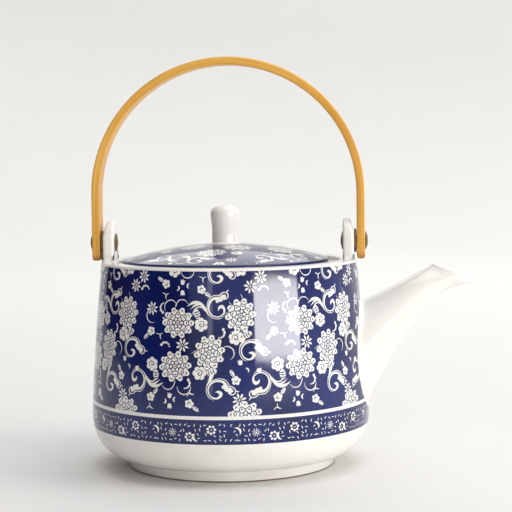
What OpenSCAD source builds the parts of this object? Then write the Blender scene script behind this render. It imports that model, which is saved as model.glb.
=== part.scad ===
// Porcelain teapot with an overhead bamboo handle, in millimetres.
// The origin is the centre of the foot's underside, +Z is up and +X is towards the spout.

/* [Pot] */
// Outer radius of the wall where it is widest
belly_r = 72.7; // [61:0.1:89]
// Height of the widest part of the wall
belly_z = 27.5; // [23:0.5:33]
// How far the wall leans in from its widest part to the rim
wall_lean = 6; // [4:0.5:10]
// How the wall leans: 1 is a straight cone, and more keeps it upright lower down
wall_bow = 1.35; // [1:0.05:1.8]
// Height of the rim
rim_z = 107; // [89:0.5:129]
// Thickness of the wall and the floor
wall_t = 4; // [3:0.1:5]
// Width of the rim's flat land, where the lugs stand
rim_w = 8.7; // [7.5:0.1:11]
// Depth of the seat below the rim
seat_drop = 2.4; // [2:0.1:4]
// Width of the seat ledge that carries the infuser and the lid
seat_w = 7; // [6:0.1:9]
// Width of the round corner between the underside and the wall
corner_w = 16.4; // [13:0.1:20]
// Height of the foot ring
foot_h = 6; // [4:0.1:8]
// Width of the foot ring where it stands
foot_w = 4.5; // [3:0.1:6]

/* [Spout] */
// Reach of the spout's tip beyond the widest part of the wall
spout_reach = 55; // [46:0.1:66]
// Reach of the mouth's upper corner beyond the widest part of the wall
lip_reach = 32.9; // [28:0.1:39]
// Drop of the mouth's upper corner below the rim
lip_drop = 3.5; // [2:0.1:6]
// Drop of the tip below the rim
tip_drop = 10.8; // [9:0.1:14]
// Height of the spout's root above the widest part of the wall, at its lower end
root_rise = 3; // [1:0.5:6]
// Drop of the spout's root below the rim, at its upper end
root_drop = 22; // [18:0.5:27]
// Half width of the spout at its root, inside the wall
root_half_w = 25; // [21:0.5:29]
// Share of that half width that is the flare at the wall
spout_flare = 8; // [5:0.5:10]
// Half width of the spout at its mouth
mouth_half_w = 8; // [6.5:0.1:10]
// Thickness of the spout's wall
spout_t = 2.6; // [2:0.1:3.2]
// Radius of the hole that lets the tea into the spout
pour_r = 9; // [7:0.1:11]

/* [Lugs] */
// Thickness of a lug
lug_t = 5.9; // [5:0.1:7.1]
// Width of a lug
lug_w = 16; // [14:0.1:19.2]
// Distance of a lug's outer face inside the rim's edge
lug_inset = 1.1; // [0.8:0.1:1.6]
// Height of the pivot above the rim
pivot_rise = 9.5; // [8:0.1:11.4]
// Height of a lug's top above the pivot
lug_top = 11.5; // [10:0.1:14]

/* [Lid] */
// Gap between the lid's edge and the rim
lid_gap = 4; // [2:0.1:5]
// Play of the lid towards the side opposite the spout
lid_shift = 1.8; // [0:0.1:2]
// Thickness of the lid's edge
lid_edge_t = 2; // [1.6:0.1:3]
// Height of the lid's dome above its edge
lid_rise = 8; // [6:0.1:11]
// Thickness of the lid
lid_t = 3.5; // [3:0.1:4.2]
// Depth of the ring below the lid
flange_h = 6.5; // [4:0.1:9]
// Thickness of the ring below the lid
flange_t = 3; // [2:0.1:4]
// Radius of the vent hole at the back of the lid
vent_r = 1.2; // [0.8:0.1:1.6]
// Distance of the vent hole from the lid's centre
vent_y = 30; // [26:0.5:34]

/* [Knob] */
// Radius of the knob near its foot
knob_r = 6.9; // [5.8:0.1:8.3]
// Radius of the knob's head
knob_head_r = 7.6; // [6.4:0.1:9.1]
// Height of the knob above the lid's dome
knob_h = 20.4; // [17:0.1:24.5]

/* [Handle] */
// Thickness of the bamboo strip
bow_t = 4.2; // [3.5:0.1:5.1]
// Width of the bamboo strip
bow_w = 13; // [10.8:0.1:15.6]
// Height of the handle's top above the pivot
bow_rise = 96; // [90:0.5:115]
// Length of a leg below the pivot
leg_drop = 9.2; // [7.2:0.1:10]
// Chamfer on the lower corners of a leg
leg_chamfer = 1; // [0.5:0.1:1.5]

/* [Pivots] */
// Radius of a rivet's shank
rivet_r = 2; // [1.6:0.1:2.4]
// Radial clearance of the shank in the turning handle
running_gap = 0.08; // [0.05:0.01:0.1]
// Radial clearance of the shank in the lug and in the washers
loose_gap = 0.25; // [0.15:0.05:0.4]
// Gap between the turning handle and the washer at each side of it
side_gap = 0.15; // [0.1:0.01:0.3]
// Radius of a rivet's head
head_r = 3.4; // [3:0.1:4.1]
// Thickness of a rivet's head
head_t = 0.8; // [0.7:0.1:1.4]
// Radius of the washers inside the lug and outside the handle
washer_r = 4.6; // [4:0.1:5.5]
// Thickness of those washers
washer_t = 0.6; // [0.5:0.1:1]
// Radius of the spacer washer between the lug and the handle
spacer_r = 6.2; // [5.2:0.1:7.4]
// Thickness of the spacer washer
spacer_t = 1.3; // [1:0.1:1.6]

/* [Infuser] */
// Depth of the infuser below the seat
infuser_h = 40; // [34:0.5:48]
// Sheet thickness of the infuser
sheet_t = 0.6; // [0.5:0.1:0.8]
// Radial gap between the infuser's wall and the pot's mouth
infuser_gap = 0.7; // [0.4:0.1:1]
// Width of the infuser's rim on the seat
infuser_rim_w = 3; // [2.5:0.1:4]
// Height of the infuser's plain collar and of its plain foot
band_h = 6; // [4:0.1:8]
// Radial gap between the lid's ring and the infuser, beyond the lid's play
flange_gap = 0.5; // [0.4:0.1:1]
// Gap between loose pieces that rest on each other
rest_gap = 0.1; // [0.05:0.01:0.15]

/* [Hidden] */

$fn = 96;
eps = 0.01;
porcelain = "#efeee8";
cobalt = "#2b3a7c";
bamboo = "#d9a23d";
brass = "#8c7a4a";
steel = "#b9bcbe";

// Pot
rim_r = belly_r - wall_lean;
seat_z = rim_z - seat_drop;
seat_r = rim_r - rim_w;
mouth_r = seat_r - seat_w;
corner_r = belly_r - corner_w;
foot_r = corner_r - 1;
foot_taper = 1.5;
floor_z = foot_h - 1 + wall_t;
rim_round = 1.5;
seat_round = 0.8;
shelf_t = 4;
shelf_slope = 9;

// Infuser and lid
basket_r = mouth_r - infuser_gap;
basket_rim_z = seat_z + rest_gap;
basket_floor_z = seat_z - infuser_h;
rim_sheet_t = sheet_t + 0.2;
lid_z = basket_rim_z + rim_sheet_t + rest_gap;
lid_r = seat_r - lid_gap;
flange_r = basket_r - 2 * sheet_t - flange_gap - lid_shift;
lid_top_z = lid_z + lid_edge_t + lid_rise;
dome_r = (lid_r * lid_r + lid_rise * lid_rise) / (2 * lid_rise);

// Lugs and pivots
lug_out = rim_r - lug_inset;
lug_in = lug_out - lug_t;
pivot_z = rim_z + pivot_rise;
leg_in = lug_out + spacer_t + side_gap;
leg_out = leg_in + bow_t;
head_in = leg_out + side_gap + washer_t;
tail_out = lug_in - washer_t;

// Radius of the wall's outside at height z, above its widest part
function wall_r(z) = belly_r - wall_lean * pow((z - belly_z) / (rim_z - belly_z), wall_bow);

// Points of the wall, drawn in by inset, from height z0 to z1, without the last one
wall_spans = 9;
function wall_line(z0, z1, inset) =
    [for (i = [0:wall_spans - 1]) let (z = z0 + (z1 - z0) * i / wall_spans) [wall_r(z) - inset, z]];

// Points of an elliptical quarter, from angle a0 to a1
function arc(cx, cz, rx, rz, a0, a1, n) =
    [for (i = [0:n]) let (a = a0 + (a1 - a0) * i / n) [cx + rx * cos(a), cz + rz * sin(a)]];

// The outside of the pot, from the foot ring's outer edge up to the rim
function pot_outside() = concat(
    [[foot_r - foot_taper, 0], [foot_r, foot_h]],
    arc(corner_r, belly_z, corner_w, belly_z - foot_h, -90, -90 / 17, 16),
    wall_line(belly_z, rim_z - rim_round, 0),
    arc(rim_r - rim_round, rim_z - rim_round, rim_round, rim_round, 0, 90, 5)
);

// The inside of the pot, from the seat's outer corner down to the floor
function pot_inside() = concat(
    arc(seat_r + seat_round, rim_z - seat_round, seat_round, seat_round, 90, 180, 4),
    [[seat_r, seat_z], [mouth_r, seat_z], [mouth_r, seat_z - shelf_t]],
    wall_line(seat_z - shelf_t - shelf_slope, belly_z, wall_t),
    arc(corner_r, belly_z, corner_w - wall_t, belly_z - floor_z, 0, -90, 14),
    [[0, floor_z]]
);

// The whole pot without its spout, lugs and lid
module pot_casting() {
    difference() {
        rotate_extrude()
            polygon(concat(
                pot_outside(),
                pot_inside(),
                [[0, foot_h - 1], [foot_r - foot_taper - foot_w - 1, foot_h - 1], [foot_r - foot_taper - foot_w, 0]]
            ));
        // The hole into the spout
        translate([rim_r - 2 * wall_t, 0, pour_z])
            rotate([0, 90, 0])
                cylinder(r = pour_r, h = 4 * wall_t);
    }
}

// A slab across the pot, from height z0 to z1
module slab(z0, z1) {
    translate([0, 0, z0])
        cylinder(r = 2 * belly_r, h = z1 - z0);
}

// The wall above its widest part, with the rim and the seat
module body_shell() {
    color(cobalt)
    intersection() {
        pot_casting();
        slab(belly_z, rim_z + 1);
    }
}

// The dish below the widest part: round corner, floor and foot ring
module body_base() {
    color(porcelain)
    intersection() {
        pot_casting();
        slab(-1, belly_z);
    }
}

// Spout: its upper and lower outlines in the XZ plane are cubic curves, and each section
// between a point on one and a point on the other is an ellipse that is wide in Y.
spout_top_z = rim_z - root_drop;
spout_low_z = belly_z + root_rise;
pour_z = (spout_top_z + spout_low_z) / 2;
root_sink = 9;
spout_rings = 22;
spout_sides = 36;

function bezier(p, t) =
    pow(1 - t, 3) * p[0] + 3 * pow(1 - t, 2) * t * p[1] + 3 * (1 - t) * t * t * p[2] + pow(t, 3) * p[3];

// Control points of an outline from its foot to its end, as shares of the span between them
function outline(foot, end, near, far) = let (span = end - foot) [
    foot,
    [foot[0] + near[0] * span[0], foot[1] + near[1] * span[1]],
    [foot[0] + far[0] * span[0], foot[1] + far[1] * span[1]],
    end
];

upper_line = outline(
    [belly_r - wall_lean / 2 - root_sink, spout_top_z - root_sink / 2],
    [belly_r + lip_reach, rim_z - lip_drop],
    [0.36, 0.32], [0.7, 0.675]
);

lower_line = outline(
    [belly_r - 0.8 * root_sink, spout_low_z - 1.7 * root_sink],
    [belly_r + spout_reach, rim_z - tip_drop],
    [0.66, 1.2], [0.95, 0.88]
);

// The spout's half width: a flare at the wall and an even taper to the mouth
function spout_half_w(t) = let (u = max(0, 1 - t))
    mouth_half_w + (root_half_w - spout_flare - mouth_half_w) * pow(u, 1.3) + spout_flare * pow(u, 4);

// Ring of the spout's surface at t, drawn in by inset. The upper outline runs ahead of the
// lower one, which keeps the sections square to the spout.
function spout_ring(t, inset) = let (
    top = bezier(upper_line, t * (1.35 - 0.35 * t)),
    low = bezier(lower_line, t * (0.44 + 0.56 * t)),
    mid = (top + low) / 2,
    half = (top - low) / 2,
    shrink = 1 - inset / norm(half)
) [for (i = [0:spout_sides - 1]) let (a = 360 * i / spout_sides)
    [mid[0] + half[0] * shrink * cos(a), (spout_half_w(t) - inset) * sin(a), mid[1] + half[1] * shrink * cos(a)]];

// A closed skin through the rings at t0 to t1
module spout_solid(t0, t1, inset) {
    rings = [for (k = [0:spout_rings]) spout_ring(t0 + (t1 - t0) * k / spout_rings, inset)];
    n = spout_sides;
    polyhedron(
        points = [for (r = rings) each r],
        faces = concat(
            [[for (i = [n - 1:-1:0]) i]],
            [for (k = [0:spout_rings - 1], i = [0:n - 1]) let (a = k * n + i, b = k * n + (i + 1) % n)
                each [[a, b, a + n], [b, b + n, a + n]]],
            [[for (i = [0:n - 1]) spout_rings * n + i]]
        )
    );
}

module spout() {
    color(porcelain)
    difference() {
        spout_solid(0, 1, 0);
        spout_solid(-0.02, 1.03, spout_t);
        // The pot's own wall and inside
        rotate_extrude()
            polygon(concat([[0, 0]], pot_outside(), [[0, rim_z]]));
    }
}

// A lug: a plate with a round top and a flared base on the rim, at its place on the +X side
module lug() {
    flare = 3;
    half = lug_w / 2;
    color(porcelain)
    difference() {
        translate([lug_in, 0, 0])
            rotate([90, 0, 90])
                linear_extrude(lug_t)
                    polygon(concat(
                        arc(half + flare, rim_z + flare, flare, flare, 270, 180, 6),
                        arc(0, pivot_z + lug_top - half, half, half, 0, 180, 24),
                        arc(-half - flare, rim_z + flare, flare, flare, 360, 270, 6)
                    ));
        translate([lug_in - 1, 0, pivot_z])
            rotate([0, 90, 0])
                cylinder(r = rivet_r + loose_gap, h = lug_t + 2);
    }
}

module lug_left() { mirror([1, 0, 0]) lug(); }

module lug_right() { lug(); }

// Height of the lid's dome at radius r
function dome_z(r) = lid_top_z - dome_r + sqrt(dome_r * dome_r - r * r);

module lid() {
    top = [for (i = [0:12]) let (r = lid_r * (1 - i / 12)) [r, dome_z(r)]];
    under_r = flange_r - flange_t;
    under = [for (i = [0:8]) let (r = under_r * i / 8) [r, dome_z(r) - lid_t]];
    color(cobalt)
    translate([-lid_shift, 0, 0])
        difference() {
            rotate_extrude()
                polygon(concat(
                    [[lid_r, lid_z]],
                    top,
                    under,
                    [[under_r, lid_z - flange_h], [flange_r, lid_z - flange_h], [flange_r, lid_z]]
                ));
            translate([0, vent_y, lid_z - eps])
                cylinder(r = vent_r, h = lid_rise + lid_edge_t);
        }
}

module lid_knob() {
    top = lid_top_z + knob_h;
    shoulder = 4.8;
    flare = 1.4;
    color(porcelain)
    translate([-lid_shift, 0, 0])
        rotate_extrude()
            polygon(concat(
                [for (i = [0:6]) let (r = (knob_r + flare) * i / 6) [r, dome_z(r)]],
                arc(knob_r + flare, dome_z(knob_r) + flare + 0.2, flare, flare, 270, 180, 5),
                arc(0, top - shoulder, knob_head_r, shoulder, 0, 90, 12)
            ));
}

// The chamfered end of a leg, from the corner at xa to the corner at xb
function leg_end(xa, xb, z, side) = let (c = leg_chamfer * sign(xb - xa)) [
    [side * xa, z + leg_chamfer], [side * (xa + c), z], [side * (xb - c), z], [side * xb, z + leg_chamfer]
];

module handle_bow() {
    foot_z = pivot_z - leg_drop;
    centre_z = pivot_z + bow_rise - leg_out;
    color(bamboo)
    difference() {
        translate([0, bow_w / 2, 0])
            rotate([90, 0, 0])
                linear_extrude(bow_w)
                    polygon(concat(
                        leg_end(leg_in, leg_out, foot_z, 1),
                        arc(0, centre_z, leg_out, leg_out, 0, 180, 60),
                        leg_end(leg_out, leg_in, foot_z, -1),
                        arc(0, centre_z, leg_in, leg_in, 180, 0, 60)
                    ));
        // The pivot bores
        for (side = [-1, 1])
            translate([side * (leg_in + leg_out) / 2, 0, pivot_z])
                rotate([0, 90, 0])
                    cylinder(r = rivet_r + running_gap, h = bow_t + 2, center = true);
    }
}

// A rivet on the +X side: a domed head outside, a shank, and a peened tail inside
module rivet() {
    dome = (head_r * head_r + head_t * head_t) / (2 * head_t);
    tail_t = head_t * 0.7;
    tail_r = rivet_r * 1.4;
    color(brass)
    translate([0, 0, pivot_z])
        rotate([0, 90, 0])
            rotate_extrude()
                polygon(concat(
                    [[0, tail_out - tail_t], [tail_r * 0.7, tail_out - tail_t], [tail_r, tail_out]],
                    [[rivet_r, tail_out], [rivet_r, head_in]],
                    [for (i = [0:6]) let (r = head_r * (1 - i / 6))
                        [r, head_in + head_t - dome + sqrt(dome * dome - r * r)]]
                ));
}

module pivot_rivet_left() { mirror([1, 0, 0]) rivet(); }

module pivot_rivet_right() { rivet(); }

// A flat washer on the +X side, from x0 to x0 + t
module washer(x0, r, t) {
    color(brass)
    translate([x0, 0, pivot_z])
        rotate([0, 90, 0])
            difference() {
                cylinder(r = r, h = t);
                translate([0, 0, -1])
                    cylinder(r = rivet_r + loose_gap, h = t + 2);
            }
}

module outer_washer_left() { mirror([1, 0, 0]) washer(head_in - washer_t, washer_r, washer_t); }

module outer_washer_right() { washer(head_in - washer_t, washer_r, washer_t); }

module spacer_washer_left() { mirror([1, 0, 0]) washer(lug_out, spacer_r, spacer_t); }

module spacer_washer_right() { washer(lug_out, spacer_r, spacer_t); }

module inner_washer_left() { mirror([1, 0, 0]) washer(lug_in - washer_t, washer_r, washer_t); }

module inner_washer_right() { washer(lug_in - washer_t, washer_r, washer_t); }

// The infuser's pressed rim: a flat ring on the seat and a plain collar round the wall's top
module infuser_rim() {
    color(steel)
    rotate_extrude()
        polygon([
            [basket_r - sheet_t, basket_rim_z - band_h],
            [basket_r, basket_rim_z - band_h],
            [basket_r, basket_rim_z],
            [mouth_r + infuser_rim_w, basket_rim_z],
            [mouth_r + infuser_rim_w, basket_rim_z + rim_sheet_t],
            [basket_r - sheet_t, basket_rim_z + rim_sheet_t]
        ]);
}

module infuser_wall() {
    color(steel)
    rotate_extrude()
        polygon([
            [basket_r - 2 * sheet_t, basket_floor_z + sheet_t],
            [basket_r - sheet_t, basket_floor_z + sheet_t],
            [basket_r - sheet_t, basket_rim_z - 1],
            [basket_r - 2 * sheet_t, basket_rim_z - 1]
        ]);
}

// The infuser's pressed base: a floor with an upturned edge round the wall's foot
module infuser_base() {
    color(steel)
    rotate_extrude()
        polygon([
            [0, basket_floor_z],
            [basket_r, basket_floor_z],
            [basket_r, basket_floor_z + band_h],
            [basket_r - sheet_t, basket_floor_z + band_h],
            [basket_r - sheet_t, basket_floor_z + sheet_t],
            [0, basket_floor_z + sheet_t]
        ]);
}

body_shell();
body_base();
spout();
lug_left();
lug_right();
lid();
lid_knob();
handle_bow();
pivot_rivet_left();
pivot_rivet_right();
outer_washer_left();
outer_washer_right();
spacer_washer_left();
spacer_washer_right();
inner_washer_left();
inner_washer_right();
infuser_rim();
infuser_wall();
infuser_base();
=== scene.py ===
"""Looks of a porcelain teapot with a bent bamboo handle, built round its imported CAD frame.

Every shape is worked out in millimetres from the boxes of the CAD nodes and from the sizes in
the classes below, and is turned to metres when its mesh is made.
"""

import logging
import math
from dataclasses import dataclass
from enum import Enum
from typing import Callable, Iterable, Sequence

import bmesh
import bpy
import numpy as np
from mathutils import Matrix, Quaternion, Vector
from mathutils.geometry import delaunay_2d_cdt

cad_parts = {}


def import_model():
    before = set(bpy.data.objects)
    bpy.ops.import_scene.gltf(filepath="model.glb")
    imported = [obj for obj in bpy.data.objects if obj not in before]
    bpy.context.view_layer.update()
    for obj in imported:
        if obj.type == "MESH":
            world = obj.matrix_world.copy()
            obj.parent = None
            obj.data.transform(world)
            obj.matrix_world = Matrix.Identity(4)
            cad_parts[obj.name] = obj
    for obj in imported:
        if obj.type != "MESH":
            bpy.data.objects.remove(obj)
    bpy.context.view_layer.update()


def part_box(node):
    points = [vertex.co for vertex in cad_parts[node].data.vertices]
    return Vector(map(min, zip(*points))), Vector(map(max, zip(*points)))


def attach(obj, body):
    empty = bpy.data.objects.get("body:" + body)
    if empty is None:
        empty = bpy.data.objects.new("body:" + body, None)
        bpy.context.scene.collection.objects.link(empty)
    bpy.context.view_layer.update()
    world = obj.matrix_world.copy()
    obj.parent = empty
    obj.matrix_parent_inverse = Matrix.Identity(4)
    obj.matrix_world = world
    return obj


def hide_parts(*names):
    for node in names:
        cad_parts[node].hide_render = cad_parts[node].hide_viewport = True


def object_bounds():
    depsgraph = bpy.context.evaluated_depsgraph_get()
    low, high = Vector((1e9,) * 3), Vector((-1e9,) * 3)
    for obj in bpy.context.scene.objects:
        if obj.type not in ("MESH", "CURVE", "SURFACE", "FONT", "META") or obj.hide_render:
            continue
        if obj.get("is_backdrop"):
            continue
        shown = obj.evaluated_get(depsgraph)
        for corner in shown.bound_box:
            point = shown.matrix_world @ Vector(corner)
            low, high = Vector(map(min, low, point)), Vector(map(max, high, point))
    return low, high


log = logging.getLogger("teapot")

MM = 0.001
WELD_MM = 0.002
COLUMNS = 154  # shared by the 7 repeats of the main field and the 11 of the border


# ---- Plane geometry ----
class Ink(Enum):
    """What a patch of the decoration is made of."""

    WHITE = 0
    COBALT = 1
    HOLE = 2


Shape = tuple[np.ndarray, Ink]


def turn_points(points: np.ndarray, degrees: float) -> np.ndarray:
    """Points turned about the origin, anticlockwise."""
    c, s = math.cos(math.radians(degrees)), math.sin(math.radians(degrees))
    return points @ np.array([[c, s], [-s, c]])


def oval(rx: float, ry: float, count: int, centre: Sequence[float] = (0, 0)) -> np.ndarray:
    """An ellipse's outline: x = rx cos a, y = ry sin a."""
    a = np.linspace(0, 2 * math.pi, count, endpoint=False)
    return np.column_stack([rx * np.cos(a), ry * np.sin(a)]) + np.asarray(centre, float)


def lobed(radius: float, lobes: int, depth: float, per_lobe: int = 4) -> np.ndarray:
    """A round outline of bulging lobes with sharp notches between them.

    The radius follows 1 - depth + depth * sqrt(|cos(lobes * a / 2)|), whose zeros are notches.

    Args:
        radius: radius over the lobes' tops.
        lobes: number of lobes.
        depth: share of the radius that a notch cuts in.
        per_lobe: points on each lobe, an even number so that a point falls in each notch.

    Returns:
        The outline as an (n, 2) array.
    """
    a = np.linspace(0, 2 * math.pi, lobes * per_lobe, endpoint=False)
    rho = radius * (1 - depth + depth * np.sqrt(np.abs(np.cos(lobes * a / 2))))
    return np.column_stack([rho * np.cos(a), rho * np.sin(a)])


def lattice(x: np.ndarray, y: np.ndarray) -> tuple[np.ndarray, np.ndarray]:
    """A rectangle's outline with a point at every x and y, and the crossings inside it."""
    sides = [
        (x[:-1], y[0] + 0 * x[:-1]), (x[-1] + 0 * y[:-1], y[:-1]),
        (x[:0:-1], y[-1] + 0 * x[:0:-1]), (x[0] + 0 * y[:0:-1], y[:0:-1]),
    ]
    gx, gy = np.meshgrid(x[1:-1], y[1:-1])
    return np.vstack([np.column_stack(side) for side in sides]), np.column_stack([gx.ravel(), gy.ravel()])


def about_z(r: np.ndarray, a: np.ndarray, z: np.ndarray) -> np.ndarray:
    """Points at radius r, angle a and height z about the Z axis."""
    return np.stack(np.broadcast_arrays(r * np.cos(a), r * np.sin(a), z), -1)


def through(knots: Sequence[Sequence[float]], count: int) -> np.ndarray:
    """A smooth line through the knots: cubic Hermite spans with Catmull-Rom slopes.

    Args:
        knots: the points that the line passes.
        count: number of points on the line.

    Returns:
        The line as a (count, 2) array.
    """
    p = np.asarray(knots, float)
    m = np.gradient(p, axis=0)
    u = np.linspace(0, len(p) - 1, count)
    i = np.minimum(u.astype(int), len(p) - 2)
    t = (u - i)[:, None]
    return (
        (2 * t**3 - 3 * t**2 + 1) * p[i]
        + (t**3 - 2 * t**2 + t) * m[i]
        + (3 * t**2 - 2 * t**3) * p[i + 1]
        + (t**3 - t**2) * m[i + 1]
    )


def brush(knots: Sequence[Sequence[float]], widths: Sequence[float], count: int) -> np.ndarray:
    """A brush stroke's outline: a smooth line whose width runs smoothly through the widths."""
    line = through(knots, count)
    along = np.linspace(0, 1, count)
    width = np.interp(along, np.linspace(0, 1, len(widths)), widths)[:, None]
    way = np.gradient(line, axis=0)
    across = np.column_stack([-way[:, 1], way[:, 0]])
    across /= np.linalg.norm(across, axis=1)[:, None]
    return np.vstack([line + across * width / 2, (line - across * width / 2)[::-1]])


def crescent(radius: float, start: float, end: float, width: float, count: int = 7) -> np.ndarray:
    """A crescent: an arc from angle start to end in degrees, widest half way, width * sin."""
    a = np.radians(np.linspace(start, end, count))
    half = 0.05 + width / 2 * np.sin(np.linspace(0, math.pi, count))
    outer = np.column_stack([(radius + half) * np.cos(a), (radius + half) * np.sin(a)])
    inner = np.column_stack([(radius - half) * np.cos(a), (radius - half) * np.sin(a)])
    return np.vstack([outer, inner[::-1]])


def moved(shapes: Iterable[Shape], x: float, y: float, degrees: float = 0, scale: float = 1) -> list[Shape]:
    """The shapes turned, scaled, and moved to (x, y)."""
    return [(turn_points(p, degrees) * scale + (x, y), ink) for p, ink in shapes]


# ---- Motifs of the decoration, in millimetres, each about its own centre ----
OUTLINE_W = 0.42


def petal_ring(count: int, rx: float, ry: float, size: float, lobes: int, mark: float) -> list[Shape]:
    """A ring of overlapping petals, each with a cobalt outline and a small cobalt arc.

    Args:
        count: number of petals.
        rx: half width of the ring through the petals' centres.
        ry: half height of that ring.
        size: radius of a petal.
        lobes: scallops round a petal.
        mark: radius of the arc in each petal, or 0 for none.

    Returns:
        The shapes, undermost first.
    """
    shapes: list[Shape] = []
    for k in range(count):
        a = 2 * math.pi * k / count
        x, y = rx * math.cos(a), ry * math.sin(a)
        turn = math.degrees(math.atan2(y, x))
        petal = [
            (lobed(size + OUTLINE_W, lobes, 0.2), Ink.COBALT),
            (lobed(size, lobes, 0.3), Ink.WHITE),
        ]
        if mark:
            petal.append((crescent(mark, -75, 75, OUTLINE_W * 1.2, 5), Ink.COBALT))
        shapes += moved(petal, x, y, turn)
    return shapes


def dahlia() -> list[Shape]:
    """A full double flower, 17 by 15: three rings of petals round a ringed dot."""
    return (
        petal_ring(10, 6.4, 5.5, 2.15, 3, 0.75)
        + petal_ring(8, 4.1, 3.5, 1.45, 3, 0.55)
        + petal_ring(6, 2.05, 1.85, 0.85, 3, 0)
        + [
            (oval(1.35, 1.35, 12), Ink.COBALT),
            (oval(0.9, 0.9, 12), Ink.WHITE),
            (oval(0.42, 0.42, 8), Ink.COBALT),
        ]
    )


def blossom() -> list[Shape]:
    """A six-lobed side flower, 7 across, with a spiral line drawn in it."""
    spiral = [(0.3, 0.1), (-0.5, 0.5), (-0.9, -0.5), (0.2, -1.2), (1.5, -0.3), (1.2, 1.2), (-0.4, 1.8)]
    return [
        (lobed(3.4, 6, 0.24, 6), Ink.WHITE),
        (brush(spiral, [0.5, 0.42, 0.42, 0.2], 18), Ink.COBALT),
        (brush([(-1.6, -1.6), (-1.1, -0.9)], [0.4, 0.1], 3), Ink.COBALT),
        (brush([(1.9, -1.5), (1.3, -0.9)], [0.4, 0.1], 3), Ink.COBALT),
    ]


def striped_bud() -> list[Shape]:
    """A closed bud, 5 long, crossed by curved stripes."""
    stripes = [
        (crescent(2.6, 148, 212, 0.5) + (2.6 + x, 0), Ink.COBALT) for x in (-1.6, -0.4, 0.8)
    ]
    return [(oval(2.5, 1.55, 14), Ink.WHITE)] + stripes


def daisy() -> list[Shape]:
    """An eight-petalled daisy, 6.6 across, with a dot at its centre."""
    petal = [(brush([(0.85, 0), (2.2, 0), (3.3, 0)], [0.25, 1.15, 0.4], 6), Ink.WHITE)]
    ring = [s for k in range(8) for s in moved(petal, 0, 0, 45 * k + 12)]
    return ring + [(oval(0.42, 0.42, 8), Ink.WHITE)]


def spray() -> list[Shape]:
    """A five-petalled blossom with one serrated leaf, 7 long in all."""
    shapes: list[Shape] = [
        (oval(0.95, 0.95, 9, turn_points(np.array([[1.35, 0.0]]), 72 * k + 36)[0]), Ink.WHITE)
        for k in range(5)
    ]
    shapes += [(oval(0.8, 0.8, 10), Ink.WHITE), (crescent(0.7, 20, 300, OUTLINE_W), Ink.COBALT)]
    leaf = lobed(1.0, 7, 0.3) * (2.0, 0.95)
    shapes += [
        (leaf + (3.9, -0.2), Ink.WHITE),
        (brush([(2.4, -0.1), (3.9, 0.1), (5.4, -0.3)], [0.2, 0.34, 0.1], 6), Ink.COBALT),
    ]
    return shapes


def crown_bud() -> list[Shape]:
    """A tiny bud with three points, 2.8 long."""
    outline = [(-1.2, 0), (-0.7, 0.95), (0.3, 1.05), (1.5, 1.2), (0.9, 0.45), (1.8, 0.05),
               (0.9, -0.4), (1.4, -1.2), (0.3, -1.0), (-0.7, -0.9)]
    return [(np.array(outline), Ink.WHITE)]


def sickle() -> list[Shape]:
    """A small free crescent."""
    return [(crescent(1.3, -70, 75, 0.75), Ink.WHITE)]


def twig() -> list[Shape]:
    """A thin forked twig, 4 long."""
    return [
        (brush([(-1.9, 1.2), (-0.6, 0.9), (0.2, 0)], [0.15, 0.45, 0.4], 6), Ink.WHITE),
        (brush([(1.9, 1.0), (0.9, 0.8), (0.2, 0)], [0.1, 0.4, 0.4], 6), Ink.WHITE),
        (brush([(0.2, 0.1), (0.1, -1.0), (0.5, -2.0)], [0.5, 0.5, 0.1], 6), Ink.WHITE),
    ]


def berry_sprig() -> list[Shape]:
    """Five berries of falling size on an arc."""
    a = np.radians(np.array([150, 112, 76, 42, 12]))
    size = (0.8, 0.72, 0.62, 0.5, 0.4)
    berries = [(oval(r, r * 0.85, 8, (2.4 * math.cos(t), 2.4 * math.sin(t))), Ink.WHITE)
               for t, r in zip(a, size)]
    return berries + [(crescent(2.5, 8, 155, 0.5), Ink.WHITE)]


def tendril() -> list[Shape]:
    """A thin open tendril, 7 across."""
    return [(crescent(3.4, 0, 205, 0.42, 16), Ink.WHITE)]


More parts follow.
